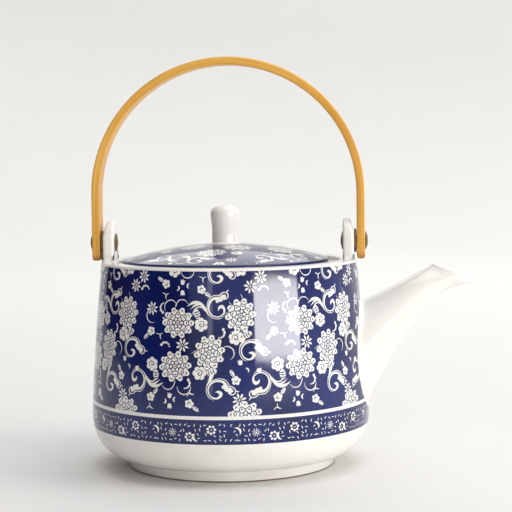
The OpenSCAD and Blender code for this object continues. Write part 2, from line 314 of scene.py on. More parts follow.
def scroll() -> list[Shape]:
    """An acanthus scroll: a curled ring, a lobed leaf up to the right, a feathered tail to the left."""
    hinge = np.array([-4.2, 4.0])
    ring = [(0.9, -1.0), (1.5, 0.5), (3.0, 1.2), (4.2, -0.2), (3.9, -2.6), (1.2, -4.3),
            (-2.2, -3.6), (-4.2, -0.8), (-4.0, 2.6), (-2.0, 5.2), (0.9, 5.9)]
    ring_w = [0.1, 1.4, 1.9, 1.25, 0.8, 0.62, 0.65, 0.85, 1.05, 1.3, 1.6]
    rail = [(4.4, -3.6), (2.0, -5.2), (-1.4, -5.1), (-4.4, -3.0), (-5.3, 0.4), (-4.4, 4.4), (-2.0, 6.9),
            (0.6, 7.2), (1.7, 7.3), (3.0, 8.5), (4.9, 8.8), (6.4, 7.7), (6.2, 6.0), (4.9, 5.1), (3.9, 4.9)]
    rail_w = [0.1, 0.34, 0.36, 0.4, 0.4, 0.42, 0.42, 0.42, 0.5, 0.5, 0.55, 0.6, 0.5, 0.2]
    gap = [(-4.0, 4.2), (-1.7, 6.35), (0.8, 6.6), (2.1, 6.8), (3.3, 7.9), (4.8, 8.1), (5.7, 7.4), (5.5, 6.2)]
    body = [(-1.6, 5.4), (1.2, 5.5), (3.2, 6.5), (5.2, 6.9)]
    shapes: list[Shape] = [
        (brush(ring, ring_w, 40), Ink.WHITE),
        (brush(body, [1.0, 2.5, 2.5, 1.3], 12), Ink.WHITE),
        (lobed(1.25, 3, 0.3, 6) + (0.6, 4.3), Ink.WHITE),
        (lobed(1.2, 3, 0.3, 6) + (2.5, 4.9), Ink.WHITE),
        (lobed(1.05, 3, 0.3, 6) + (4.3, 6.0), Ink.WHITE),
        (brush(gap, [0.1, 0.4, 0.4, 0.4, 0.4, 0.1], 22), Ink.COBALT),
        (brush(rail, rail_w, 44), Ink.WHITE),
        (brush([(5.6, 9.0), (6.3, 9.5), (6.6, 10.3)], [0.7, 0.6, 0.15], 5), Ink.WHITE),
    ]
    tail = [
        ([(-4.4, -2.6), (-6.0, 0.4), (-8.6, 2.9), (-12.0, 3.3), (-15.4, 1.4)], [0.4, 1.0, 1.7, 1.5, 0.05]),
        ([(-8.6, 2.5), (-11.2, 1.9), (-13.6, 0.0)], [0.6, 0.9, 0.05]),
        ([(-5.4, -1.2), (-7.8, 1.1), (-10.2, 0.9), (-12.0, -1.2), (-12.5, -3.4)], [0.3, 0.6, 0.6, 0.5, 0.05]),
        ([(-14.6, 2.7), (-16.6, 4.5), (-19.6, 4.3), (-21.4, 1.4), (-21.4, -2.0)], [0.1, 0.4, 0.45, 0.4, 0.1]),
    ]
    shapes = [((p - hinge) * 0.9 + hinge, ink) for p, ink in shapes]
    return shapes + [(brush(line, width, 14), Ink.WHITE) for line, width in tail]


def ring_flower() -> list[Shape]:
    """A small flower of seven dots round an eighth, 4.8 across."""
    dot = np.array([[1.75, 0.0]])
    ring = [(oval(0.66, 0.66, 7, turn_points(dot, 360 * k / 7)[0]), Ink.WHITE) for k in range(7)]
    return ring + [(oval(0.35, 0.35, 6), Ink.WHITE)]


def hatched_flower() -> list[Shape]:
    """A border flower drawn in thin strokes."""
    strokes = [(brush([(0.5, 0), (1.3, 0.25), (2.2, 0)], [0.15, 0.42, 0.1], 4), Ink.WHITE)]
    return [s for k in range(9) for s in moved(strokes, 0, 0, 40 * k)] + [(oval(0.4, 0.4, 6), Ink.WHITE)]


def hook() -> list[Shape]:
    """A thick border crescent with two dashes."""
    dash = (brush([(-0.6, 0), (0.6, 0.1)], [0.35, 0.35], 3), Ink.WHITE)
    return [(crescent(2.1, -35, 110, 1.0, 9), Ink.WHITE)] + moved([dash], -0.6, 0.4, 30) + moved(
        [dash], 0.3, -1.3, -50
    )


def dash() -> list[Shape]:
    """One short border stroke."""
    return [(brush([(-0.75, -0.1), (0, 0.15), (0.75, -0.05)], [0.2, 0.5, 0.15], 4), Ink.WHITE)]


Motif = Callable[[], list[Shape]]
Spot = tuple[Motif, float, float, float]


def spots(*groups: tuple) -> tuple[Spot, ...]:
    """One row (motif, x, z, turn) for each place (x, z, turn) that is written after a motif."""
    return tuple((motif, *place) for motif, *places in groups for place in places)


# Where the motifs stand on one repeat of the main field: how far round the wall, how high,
# and how far turned. Millimetres from the repeat's own start, millimetres up, degrees.
# Later rows lie on top.
FIELD = spots(
    (scroll, (-6, 87.5, 0), (9, 67, -62), (-7, 48.5, -62), (14.2, 53.4, 180)),
    (tendril, (-30, 88.5, 10), (-1.5, 66.5, -60), (-22.5, 50, 170), (3, 92.5, 200), (-40.5, 84, 90),
     (-21.3, 106, 180)),
    (scroll, (-6.1, 104, -62)),
    (blossom, (-28.4, 106.2, 40)),
    (daisy, (-46.8, 102.9, 0)),
    (blossom, (6.0, 106.8, 0)),
    (dahlia, (-26, 81, 0), (5.4, 84.5, 75), (-10, 67, 80), (-27.2, 60, 5), (6.5, 35.8, 20)),
    (blossom, (-14, 80.3, 30), (2.7, 73.8, 100), (-14.8, 57, 60), (-39.8, 60.6, 150)),
    (striped_bud, (-16.2, 85.4, 110), (8.4, 75.3, 25), (-8.8, 57.6, 20), (-37.4, 55.6, 95)),
    (daisy, (-40.7, 87.6, 0), (-23.4, 70.3, 10), (4.1, 44, 5), (10.6, 98.3, 20)),
    (spray, (-32.9, 99.6, 150), (-40.9, 76.6, 225), (-14, 97.2, -35), (-40.2, 44.6, 50),
     (-19.8, 42.2, -35), (2.6, 53.4, 120)),
    (crown_bud, (-23.8, 100.4, 80), (-23.8, 95.6, -85), (-29.8, 45.6, 80), (-29.8, 40.9, -85),
     (4.8, 61.8, 100), (13.6, 58, 0)),
    (sickle, (-27, 97.8, -20), (-20, 98.8, 170), (-33, 43.2, -20), (-26.4, 43.9, 170), (7.4, 58, 30),
     (-34.5, 82, 20)),
    (twig, (-35.7, 74.6, 10), (-13.4, 102.2, 0), (-19.3, 47, 70), (-40.5, 39.6, 60), (-33, 94, 0)),
    (berry_sprig, (-32.6, 69, 0), (-45.5, 96, 10), (-33.4, 88, 95), (-5, 76.4, 250), (-22, 52, 255)),
)

# The same on one repeat of the border.
BORDER = spots(
    (ring_flower, (6, 29.7, 8)), (hook, (17.5, 28.6, 0)), (hatched_flower, (27, 28.2, 0)),
    (ring_flower, (35.5, 26.2, 30)), (hook, (-0.5, 26.2, 160)),
)


def area_of(outline: np.ndarray) -> float:
    """The area inside an outline, positive if it runs anticlockwise: half the sum of x y' - x' y."""
    ahead = np.roll(outline, -1, 0)
    return float(np.sum(outline[:, 0] * ahead[:, 1] - ahead[:, 0] * outline[:, 1])) / 2


def band(x: np.ndarray, low: float, high: float) -> np.ndarray:
    """A rectangle between two heights with a point at every x, a little wider than all of them."""
    x = np.concatenate([[x[0] - 1], x, [x[-1] + 1]])
    return np.vstack([np.column_stack([x, 0 * x + low]), np.column_stack([x[::-1], 0 * x + high])])


def reaches(outline: np.ndarray, low: Sequence[float], high: Sequence[float]) -> bool:
    """Whether an outline's box overlaps the box between two corners."""
    return bool((outline.max(0) > low).all() and (outline.min(0) < high).all())


@dataclass(frozen=True)
class Drawing:
    """A plane drawing on a rectangle or disc, cut into triangles of one ink each."""

    points: np.ndarray
    triangles: np.ndarray
    inks: np.ndarray


def draw(domain: np.ndarray, shapes: Sequence[Shape], inner: np.ndarray) -> Drawing:
    """Cuts a domain along the outlines of the shapes drawn on it.

    A constrained Delaunay triangulation keeps every outline; each triangle takes the ink of the
    topmost shape that covers it, and triangles outside the domain or in a hole are left out.

    Args:
        domain: the domain's outline, in white.
        shapes: outlines with inks, undermost first.
        inner: loose points inside, which keep the triangles small enough to bend.

    Returns:
        The drawing.
    """
    outlines = [p if area_of(p) > 0 else p[::-1] for p in (domain, *[p for p, _ in shapes])]
    inks = np.array([Ink.WHITE.value] + [ink.value for _, ink in shapes])
    ends = np.cumsum([len(p) for p in outlines])
    loops = [list(range(end - len(p), end)) for p, end in zip(outlines, ends)]
    flat = np.vstack([*outlines, inner])
    points, _, faces, _, _, owners = delaunay_2d_cdt(
        [Vector(p) for p in flat.tolist()], [], loops, 1, 1e-4, True
    )
    top = np.array([max(o) if 0 in o else -1 for o in owners])
    ink = np.where(top < 0, Ink.HOLE.value, inks[top])
    kept = ink != Ink.HOLE.value
    triangles = np.array([f[:3] for f in faces])[kept]
    return Drawing(np.array([p[:] for p in points]), triangles, ink[kept])


# ---- Skins: vertices, faces and slots of a surface before it is a mesh ----
@dataclass
class Skin:
    """A surface in millimetres: points, their normals, faces, and each face's material slot."""

    points: np.ndarray
    faces: list[list[int]]
    slots: np.ndarray
    normals: np.ndarray | None = None

    def mapped(self, place: Callable[[np.ndarray], np.ndarray]) -> "Skin":
        """The skin with its points moved by a function of the whole array."""
        return Skin(place(self.points), self.faces, self.slots, self.normals)

    def flipped(self) -> "Skin":
        """The skin turned inside out."""
        return Skin(self.points, [f[::-1] for f in self.faces], self.slots, self.normals)


def joined(skins: Sequence[Skin]) -> Skin:
    """Several skins as one."""
    starts = np.cumsum([0] + [len(s.points) for s in skins[:-1]])
    faces = [[v + int(start) for v in f] for s, start in zip(skins, starts) for f in s.faces]
    normals = None
    if all(s.normals is not None for s in skins):
        normals = np.vstack([s.normals for s in skins])
    slots = np.concatenate([s.slots for s in skins])
    return Skin(np.vstack([s.points for s in skins]), faces, slots, normals)


def grid_faces(rows: int, columns: int, around: bool, over: bool = False) -> list[list[int]]:
    """Quads of a grid of points stored row by row.

    Args:
        rows: number of rows.
        columns: points in a row.
        around: whether each row closes on itself.
        over: whether the last row joins the first.

    Returns:
        The quads, which face outwards where a row runs anticlockwise seen from above and the
        next row lies higher.
    """
    i, j = np.meshgrid(
        np.arange(rows if over else rows - 1), np.arange(columns if around else columns - 1), indexing="ij"
    )
    i2, j2 = (i + 1) % rows, (j + 1) % columns
    quads = np.stack([i * columns + j, i * columns + j2, i2 * columns + j2, i2 * columns + j], -1)
    return quads.reshape(-1, 4).tolist()


def profile_normals(profile: np.ndarray) -> np.ndarray:
    """Unit normals (r, z) of a profile, on the right of its way forward."""
    way = np.gradient(profile, axis=0)
    n = np.column_stack([way[:, 1], -way[:, 0]])
    return n / np.linalg.norm(n, axis=1)[:, None]


def revolved(profile: np.ndarray, columns: int, slots: np.ndarray | int = 0, over: bool = False) -> Skin:
    """A surface of revolution about Z: x = r cos a, y = r sin a, z = z for each profile point (r, z).

    Args:
        profile: points (r, z), with the outside on the right of the way forward.
        columns: divisions round the axis.
        slots: material slot of every face, or of each span of the profile.
        over: whether the profile closes on itself.

    Returns:
        The skin.
    """
    a = 2 * math.pi * np.arange(columns) / columns
    n = profile_normals(profile)
    points, normals = (about_z(p[:, 0, None], a, p[:, 1, None]).reshape(-1, 3) for p in (profile, n))
    spans = len(profile) if over else len(profile) - 1
    per_span = np.broadcast_to(slots, (spans,))
    return Skin(points, grid_faces(len(profile), columns, True, over), np.repeat(per_span, columns), normals)


def rounded(
    corners: Sequence[tuple[float, float, float]], closed: bool = False, steps: int = 5
) -> np.ndarray:
    """A path through corners, each rounded by an arc that touches both of its sides.

    Args:
        corners: (x, y, radius) of each corner; a radius of 0 leaves it sharp.
        closed: whether the last corner joins the first.
        steps: spans in each arc.

    Returns:
        The path as an (n, 2) array.
    """
    c = np.array(corners, float)
    path: list[np.ndarray] = []
    for k, (x, y, radius) in enumerate(corners):
        here = np.array([x, y])
        if radius <= 0 or (not closed and k in (0, len(c) - 1)):
            path.append(here[None])
            continue
        back, ahead = c[k - 1, :2] - here, c[(k + 1) % len(c), :2] - here
        back_len, ahead_len = np.linalg.norm(back), np.linalg.norm(ahead)
        back, ahead = back / back_len, ahead / ahead_len
        half = math.acos(max(-1.0, min(1.0, float(back @ ahead)))) / 2
        reach = min(radius / math.tan(half), 0.49 * back_len, 0.49 * ahead_len)
        t = np.linspace(0, 1, steps + 1)[:, None]
        a, b = here + back * reach, here + ahead * reach
        path.append((1 - t) ** 2 * a + 2 * t * (1 - t) * here + t**2 * b)
    return np.vstack(path)


def thick_sheet(
    drawing: Drawing, front: Callable[[np.ndarray], np.ndarray], back: Callable[[np.ndarray], np.ndarray]
) -> Skin:
    """A pierced sheet: a drawing placed on a front and a back surface, with walls round its edges.

    Args:
        drawing: the sheet laid flat; its holes are already left out.
        front: places flat points on the front surface.
        back: places them on the back surface.

    Returns:
        The closed skin. Edges that meet after placing are welded later.
    """
    n = len(drawing.points)
    tri = drawing.triangles
    edges = np.vstack([tri[:, [0, 1]], tri[:, [1, 2]], tri[:, [2, 0]]])
    codes = edges[:, 0] * n + edges[:, 1]
    rim = edges[~np.isin(codes, edges[:, 1] * n + edges[:, 0])]
    at_seam = np.isclose(drawing.points[rim, 0], drawing.points[:, 0].min()).all(1) | np.isclose(
        drawing.points[rim, 0], drawing.points[:, 0].max()
    ).all(1)
    rim = rim[~at_seam]
    walls = np.column_stack([rim[:, 1], rim[:, 0], rim[:, 0] + n, rim[:, 1] + n])
    faces = tri.tolist() + (tri[:, ::-1] + n).tolist() + walls.tolist()
    return Skin(np.vstack([front(drawing.points), back(drawing.points)]), faces, np.zeros(len(faces), int))


def box_of(node: str) -> tuple[np.ndarray, np.ndarray]:
    """A CAD node's lowest and highest corners, in millimetres."""
    lo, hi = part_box(node)
    return np.array(lo) / MM, np.array(hi) / MM


def make_piece(
    name: str, skin: Skin, materials: Sequence[bpy.types.Material], body: str,
    nodes: Sequence[str], sharp_angle: float | None = 35.0,
) -> bpy.types.Object:
    """Turns a skin into a piece that rides on a CAD body and stands for CAD nodes.

    Args:
        name: the piece's name.
        skin: its surface.
        materials: materials by slot number.
        body: the CAD body that it rides on.
        nodes: the CAD nodes that it replaces.
        sharp_angle: degrees past which an edge is drawn sharp; None shades by the skin's normals.

    Returns:
        The object.
    """
    mesh = bpy.data.meshes.new(name)
    mesh.from_pydata((skin.points * MM).tolist(), [], skin.faces)
    for material in materials:
        mesh.materials.append(material)
    mesh.polygons.foreach_set("material_index", np.asarray(skin.slots, np.int32))
    own_normals = sharp_angle is None and skin.normals is not None
    if own_normals:
        store = mesh.attributes.new("own_normal", "FLOAT_VECTOR", "POINT")
        store.data.foreach_set("vector", skin.normals.astype(np.float32).ravel())
    bm = bmesh.new()
    bm.from_mesh(mesh)
    bmesh.ops.remove_doubles(bm, verts=bm.verts, dist=WELD_MM * MM)
    bmesh.ops.dissolve_degenerate(bm, edges=bm.edges, dist=1e-8)
    bm.to_mesh(mesh)
    bm.free()
    mesh.polygons.foreach_set("use_smooth", np.ones(len(mesh.polygons), bool))
    if own_normals:
        kept = np.zeros(len(mesh.vertices) * 3, np.float32)
        mesh.attributes["own_normal"].data.foreach_get("vector", kept)
        mesh.attributes.remove(mesh.attributes["own_normal"])
        mesh.normals_split_custom_set_from_vertices(kept.reshape(-1, 3).tolist())
    elif sharp_angle is not None:
        mesh.set_sharp_from_angle(angle=math.radians(sharp_angle))
    mesh.update()
    piece = bpy.data.objects.new(name, mesh)
    bpy.context.scene.collection.objects.link(piece)
    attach(piece, body)
    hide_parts(*nodes)
    log.info("%s: %d faces on %s", name, len(mesh.polygons), body)
    return piece


# ---- Finishes ----
Tree = bpy.types.NodeTree
Socket = bpy.types.NodeSocket


def linear(code: str) -> tuple[float, ...]:
    """An sRGB hex colour as linear values, with an alpha of 1."""
    c = np.array([int(code.lstrip("#")[k : k + 2], 16) for k in (0, 2, 4)]) / 255
    lin = np.where(c <= 0.04045, c / 12.92, ((c + 0.055) / 1.055) ** 2.4)
    return (*lin.tolist(), 1.0)


def add(tree: Tree, kind: str, inputs: dict | None = None, **settings) -> bpy.types.Node:
    """Adds a node.

    Args:
        tree: the material's node tree.
        kind: the node's type name.
        inputs: input name or number to a value or to another node's output.
        settings: the node's own settings.

    Returns:
        The node.
    """
    node = tree.nodes.new(kind)
    for key, value in settings.items():
        setattr(node, key, value)
    for key, value in (inputs or {}).items():
        if isinstance(value, bpy.types.NodeSocket):
            tree.links.new(value, node.inputs[key])
        else:
            node.inputs[key].default_value = value
    return node


def colour_steps(tree: Tree, factor: Socket, stops: Sequence[tuple[float, str]]) -> Socket:
    """A colour ramp with the given stops of (place, hex colour), read by factor."""
    ramp = add(tree, "ShaderNodeValToRGB", {"Fac": factor})
    elements = ramp.color_ramp.elements
    while len(elements) < len(stops):
        elements.new(0.5)
    for element, (place, code) in zip(elements, stops):
        element.position, element.color = place, linear(code)
    return ramp.outputs["Color"]


def per_metre(size_mm: float) -> float:
    """A texture scale whose features are that many millimetres across."""
    return 1 / (size_mm * MM)


def blank(name: str) -> tuple[bpy.types.Material, Tree, bpy.types.Node]:
    """A new material, its node tree and its shader."""
    material = bpy.data.materials.new(name)
    material.use_nodes = True
    return material, material.node_tree, material.node_tree.nodes["Principled BSDF"]


def own_place(tree: Tree) -> Socket:
    """The shaded point in the piece's own coordinates."""
    return add(tree, "ShaderNodeTexCoord").outputs["Object"]


def noise(tree: Tree, place: Socket, size_mm: float, detail: float) -> Socket:
    """Noise with features of that size."""
    inputs = {"Vector": place, "Scale": per_metre(size_mm), "Detail": detail}
    return add(tree, "ShaderNodeTexNoise", inputs).outputs["Fac"]


def drawn_noise(
    tree: Tree, place: Socket, sizes_mm: Sequence[float], detail: float, **inputs: float
) -> Socket:
    """Noise whose features have those sizes along the three axes."""
    scales = tuple(per_metre(size) for size in sizes_mm)
    scaled = add(tree, "ShaderNodeVectorMath", {0: place, 1: scales}, operation="MULTIPLY").outputs[0]
    values = {"Vector": scaled, "Scale": 1.0, "Detail": detail, **inputs}
    return add(tree, "ShaderNodeTexNoise", values).outputs["Fac"]


def mean_of(tree: Tree, a: Socket, b: Socket) -> Socket:
    """Half the sum of two values."""
    both = add(tree, "ShaderNodeMath", {0: a, 1: b}, operation="ADD").outputs[0]
    return add(tree, "ShaderNodeMath", {0: both, 1: 0.5}, operation="MULTIPLY").outputs[0]


def dress(
    tree: Tree, shader: bpy.types.Node, colour: Socket, height: Socket, strength: float, depth_mm: float
) -> None:
    """Gives a shader its colour and a bump that follows a height."""
    tree.links.new(colour, shader.inputs["Base Color"])
    bump = add(tree, "ShaderNodeBump", {"Height": height, "Strength": strength, "Distance": depth_mm * MM})
    tree.links.new(bump.outputs["Normal"], shader.inputs["Normal"])


@dataclass(frozen=True)
class Glaze:
    """Clear feldspathic glaze over hard-paste porcelain, white or with cobalt printed under it.

    Fired glaze is glassy and slightly uneven, so highlights are crisp with a faint waver.
    """

    name: str
    light: str
    dark: str
    grain_mm: float
    roughness: float = 0.07
    ior: float = 1.54
    pool_mm: float = 30.0
    waver_mm: float = 9.0

    def build(self) -> bpy.types.Material:
        """The material."""
        material, tree, shader = blank(self.name)
        place = own_place(tree)
        shade = mean_of(tree, noise(tree, place, self.grain_mm, 3.0), noise(tree, place, self.pool_mm, 1.0))
        tint = colour_steps(tree, shade, [(0.36, self.dark), (0.64, self.light)])
        dress(tree, shader, tint, noise(tree, place, self.waver_mm, 1.0), 0.05, 0.4)
        shader.inputs["Roughness"].default_value = self.roughness
        shader.inputs["IOR"].default_value = self.ior
        return material


@dataclass(frozen=True)
class Biscuit:
    """Unglazed fired clay of the foot's standing edge: matt, buff and slightly stained."""

    name: str = "unglazed_biscuit_clay"
    grit_mm: float = 0.8

    def build(self) -> bpy.types.Material:
        """The material."""
        material, tree, shader = blank(self.name)
        grit = noise(tree, own_place(tree), self.grit_mm, 4.0)
        dress(tree, shader, colour_steps(tree, grit, [(0.35, "#7A6350"), (0.65, "#A8927C")]), grit, 0.4, 0.2)
        shader.inputs["Roughness"].default_value = 0.85
        return material


@dataclass(frozen=True)
class Bamboo:
    """Heat-bent bamboo strip under satin lacquer: long fibres, darker at its cut ends.

    The attribute "strip" holds each point's way along, across and through the strip in metres,
    and "cut_end" how near it is to a cut end, up to 1.
    """

    name: str = "lacquered_bent_bamboo"
    fibre_mm: tuple[float, float, float] = (42, 0.62, 0.62)
    band_mm: tuple[float, float, float] = (90, 4.5, 4.5)

    def build(self) -> bpy.types.Material:
        """The material."""
        material, tree, shader = blank(self.name)
        strip, end = (
            add(tree, "ShaderNodeAttribute", attribute_name=name, attribute_type="GEOMETRY").outputs[output]
            for name, output in (("strip", "Vector"), ("cut_end", "Fac"))
        )
        fibre = drawn_noise(tree, strip, self.fibre_mm, 4.0, Roughness=0.62)
        shade = mean_of(tree, fibre, drawn_noise(tree, strip, self.band_mm, 2.0))
        wood = colour_steps(tree, shade, [(0.34, "#C08222"), (0.48, "#D89C34"), (0.62, "#EAB857")])
        mixed = {"Factor": end, "A": wood, "B": linear("#9A5A12")}
        scorched = add(tree, "ShaderNodeMix", mixed, data_type="RGBA")
        dress(tree, shader, scorched.outputs["Result"], fibre, 0.25, 0.15)
        shader.inputs["Roughness"].default_value = 0.42
        shader.inputs["Coat Weight"].default_value = 0.25
        shader.inputs["Coat Roughness"].default_value = 0.25
        return material


@dataclass(frozen=True)
class Metal:
    """A metal with uneven polish: brushed lines or a dull, handled patina."""

    name: str
    light: str
    dark: str
    grain_mm: tuple[float, float, float]
    smooth: float
    rough: float

    def build(self) -> bpy.types.Material:
        """The material."""
        material, tree, shader = blank(self.name)
        grain = drawn_noise(tree, own_place(tree), self.grain_mm, 3.0)
        tint = colour_steps(tree, grain, [(0.35, self.dark), (0.65, self.light)])
        dress(tree, shader, tint, grain, 0.2, 0.1)
        span = {"Value": grain, "From Min": 0.3, "From Max": 0.7, "To Min": self.smooth, "To Max": self.rough}
        rough = add(tree, "ShaderNodeMapRange", span)
        tree.links.new(rough.outputs["Result"], shader.inputs["Roughness"])
        shader.inputs["Metallic"].default_value = 1.0
        return material


WHITE_GLAZE = Glaze("glazed_white_porcelain", "#F2F1ED", "#EAE8E2", 14.0)
COBALT_GLAZE = Glaze("cobalt_under_clear_glaze", "#15256A", "#0A1448", 0.7)
BISCUIT = Biscuit()
BAMBOO = Bamboo()
BRASS = Metal("dull_antique_brass", "#9A8654", "#5F5230", (1.2, 1.2, 1.2), 0.3, 0.55)
STEEL = Metal("brushed_stainless_steel", "#D2D3D4", "#A9ABAD", (18.0, 18.0, 0.35), 0.24, 0.42)


# ---- The pot ----
@dataclass
class PotWall:
    """The outside of the pot's wall as a curve of radius over height."""

    belly_r: float
    rim_z: float
    wall_lean: float = 6.0
    wall_bow: float = 1.35
    belly_z: float = 27.5
    corner_w: float = 16.4
    foot_h: float = 6.0
    spread_r: float = 70.0

    def radius(self, z: np.ndarray) -> np.ndarray:
        """Radius at height z: an elliptical corner, then lean * share of the height ** bow."""
        drop = np.clip((self.belly_z - z) / (self.belly_z - self.foot_h), 0, 1)
        corner = self.belly_r - self.corner_w * (1 - np.sqrt(1 - drop**2))
        share = np.clip((z - self.belly_z) / (self.rim_z - self.belly_z), 0, None)
        return np.where(z < self.belly_z, corner, self.belly_r - self.wall_lean * share**self.wall_bow)

    def place(self, flat: np.ndarray) -> np.ndarray:
        """Points on the wall for (way round in mm at spread_r, height); +X is at 0."""
        return about_z(self.radius(flat[:, 1]), flat[:, 0] / self.spread_r, flat[:, 1])

    def normals(self, flat: np.ndarray) -> np.ndarray:
        """Unit normals at the same points, from the slope of the radius."""
        a, step = flat[:, 0] / self.spread_r, 0.05
        slope = (self.radius(flat[:, 1] + step) - self.radius(flat[:, 1] - step)) / (2 * step)
        n = np.column_stack([np.cos(a), np.sin(a), -slope])
        return n / np.linalg.norm(n, axis=1)[:, None]


@dataclass
class Spout:
    """The beaked spout: elliptical sections between an upper and a lower cubic outline."""

    wall: PotWall
    tip_x: float
    lip_z: float
    lip_back: float = 22.1
    tip_drop: float = 7.3
    root_sink: float = 9.0
    top_z: float = 85.0
    low_z: float = 30.5
    root_half_w: float = 25.0
    flare: float = 8.0
    mouth_half_w: float = 8.0
    wall_t: float = 2.6
    lip_t: float = 1.7
    fillet: float = 3.0
    sides: int = 112
    rows: int = 44

    def outlines(self, t: np.ndarray) -> tuple[np.ndarray, np.ndarray]:
        """Points (x, z) of the upper and the lower outline at t, as cubic Bezier curves."""
        wall = self.wall

        def bezier(foot, end, near, far, u):
            foot, end = np.array(foot), np.array(end)
            span, u = end - foot, u[..., None]
            return (
                (1 - u) ** 3 * foot
                + 3 * (1 - u) ** 2 * u * (foot + np.array(near) * span)
                + 3 * (1 - u) * u**2 * (foot + np.array(far) * span)
                + u**3 * end
            )

        upper = bezier(
            (wall.belly_r - wall.wall_lean / 2 - self.root_sink, self.top_z - self.root_sink / 2),
            (self.tip_x - self.lip_back, self.lip_z), (0.36, 0.32), (0.7, 0.675), t * (1.35 - 0.35 * t),
        )
        lower = bezier(
            (wall.belly_r - 0.8 * self.root_sink, self.low_z - 1.7 * self.root_sink),
            (self.tip_x, self.lip_z - self.tip_drop), (0.66, 1.2), (0.95, 0.88), t * (0.44 + 0.56 * t),
        )
        return upper, lower

    def skin_at(self, t: np.ndarray, a: np.ndarray, inset: np.ndarray | float) -> np.ndarray:
        """Points at t along and angle a round the spout, drawn in by inset: mid + half cos a, width sin a."""
        upper, lower = self.outlines(t)
        mid, half = (upper + lower) / 2, (upper - lower) / 2
        shrink = 1 - inset / np.linalg.norm(half, axis=-1)
        left = np.maximum(0, 1 - t)
        width = (
            self.mouth_half_w
            + (self.root_half_w - self.flare - self.mouth_half_w) * left**1.3
            + self.flare * left**4
            - inset
        )
        x = mid[..., 0] + half[..., 0] * shrink * np.cos(a)
        z = mid[..., 1] + half[..., 1] * shrink * np.cos(a)
        return np.stack([x, width * np.sin(a), z], -1)

    def root(self, inset: float) -> np.ndarray:
        """t at which each line along the spout leaves the wall, by halving 40 times."""
        a = self.angles()
        low, high = np.zeros_like(a), np.full_like(a, 0.9)
        for _ in range(40):
            mid = (low + high) / 2
            p = self.skin_at(mid, a, inset)
            inside = np.hypot(p[:, 0], p[:, 1]) < self.wall.radius(p[:, 2])
            low, high = np.where(inside, mid, low), np.where(inside, high, mid)
        return high

    def angles(self) -> np.ndarray:
        """Angles round a section."""
        return 2 * math.pi * np.arange(self.sides) / self.sides

    def footprint(self, inset: float, grow: float) -> np.ndarray:
        """The outline of the root on the unrolled wall, grown outwards by that many millimetres."""
        p = self.skin_at(self.root(inset), self.angles(), inset)
        flat = np.column_stack([np.arctan2(p[:, 1], p[:, 0]) * self.wall.spread_r, p[:, 2]])
        way = np.roll(flat, -1, 0) - np.roll(flat, 1, 0)
        out = np.column_stack([-way[:, 1], way[:, 0]]) / np.linalg.norm(way, axis=1)[:, None]
        return flat + out * grow

    def build(self) -> Skin:
        """The spout's closed skin: fillet, outside, rounded lip, channel, and the joint in the wall."""
        a = self.angles()
        t0 = self.root(0)
        seam = self.skin_at(t0, a, 0)
        step = 0.01
        pace = np.linalg.norm(self.skin_at(t0 + step, a, 0) - seam, axis=1) / step
        t1 = t0 + self.fillet / pace
        foot_flat = self.footprint(0, self.fillet * 0.8)
        foot = self.wall.place(foot_flat)
        sunk = foot - self.wall.normals(foot_flat) * 1.2
        start = self.skin_at(t1, a, 0)
        rings = [sunk]
        for u in np.linspace(0, 1, 8)[:-1]:
            rings.append((1 - u) ** 2 * foot + 2 * u * (1 - u) * seam + u**2 * start)
        for u in np.linspace(0, 1, self.rows):
            rings.append(self.skin_at(t1 + (1 - t1) * u, a, 0.0))
        outer, inner = self.skin_at(np.ones_like(a), a, 0.0), self.skin_at(np.ones_like(a), a, self.lip_t)
        lift = self.lip_normal() * self.lip_t / 2
        for turn in np.linspace(0, math.pi, 8)[1:-1]:
            ring = (outer + inner) / 2 + (outer - inner) / 2 * math.cos(turn) + lift * math.sin(turn)
            rings.append(ring)
        t_in = self.root(self.wall_t)
        for u in np.linspace(1, 0, self.rows):
            inset = self.wall_t + (self.lip_t - self.wall_t) * max(0.0, (u - 0.75) / 0.25)
            rings.append(self.skin_at(t_in + (1 - t_in) * u, a, inset))
        inner_flat = self.footprint(self.wall_t, 0)
        rings.append(self.wall.place(inner_flat) - self.wall.normals(inner_flat) * 1.2)
        points = np.vstack(rings)
        faces = grid_faces(len(rings), self.sides, True, over=True)
        return Skin(points, [f[::-1] for f in faces], np.zeros(len(faces), int))

    def lip_normal(self) -> np.ndarray:
        """Unit normal of the mouth's plane, pointing out of the spout."""
        back = np.array([-self.lip_back, 0.0, self.tip_drop])
        n = np.array([back[2], 0.0, -back[0]])
        return n / np.linalg.norm(n)

    def make(self, materials: Sequence[bpy.types.Material]) -> bpy.types.Object:
        """The spout's piece."""
        return make_piece("spout_shell", self.build(), materials, "pot", ["spout"], 50)


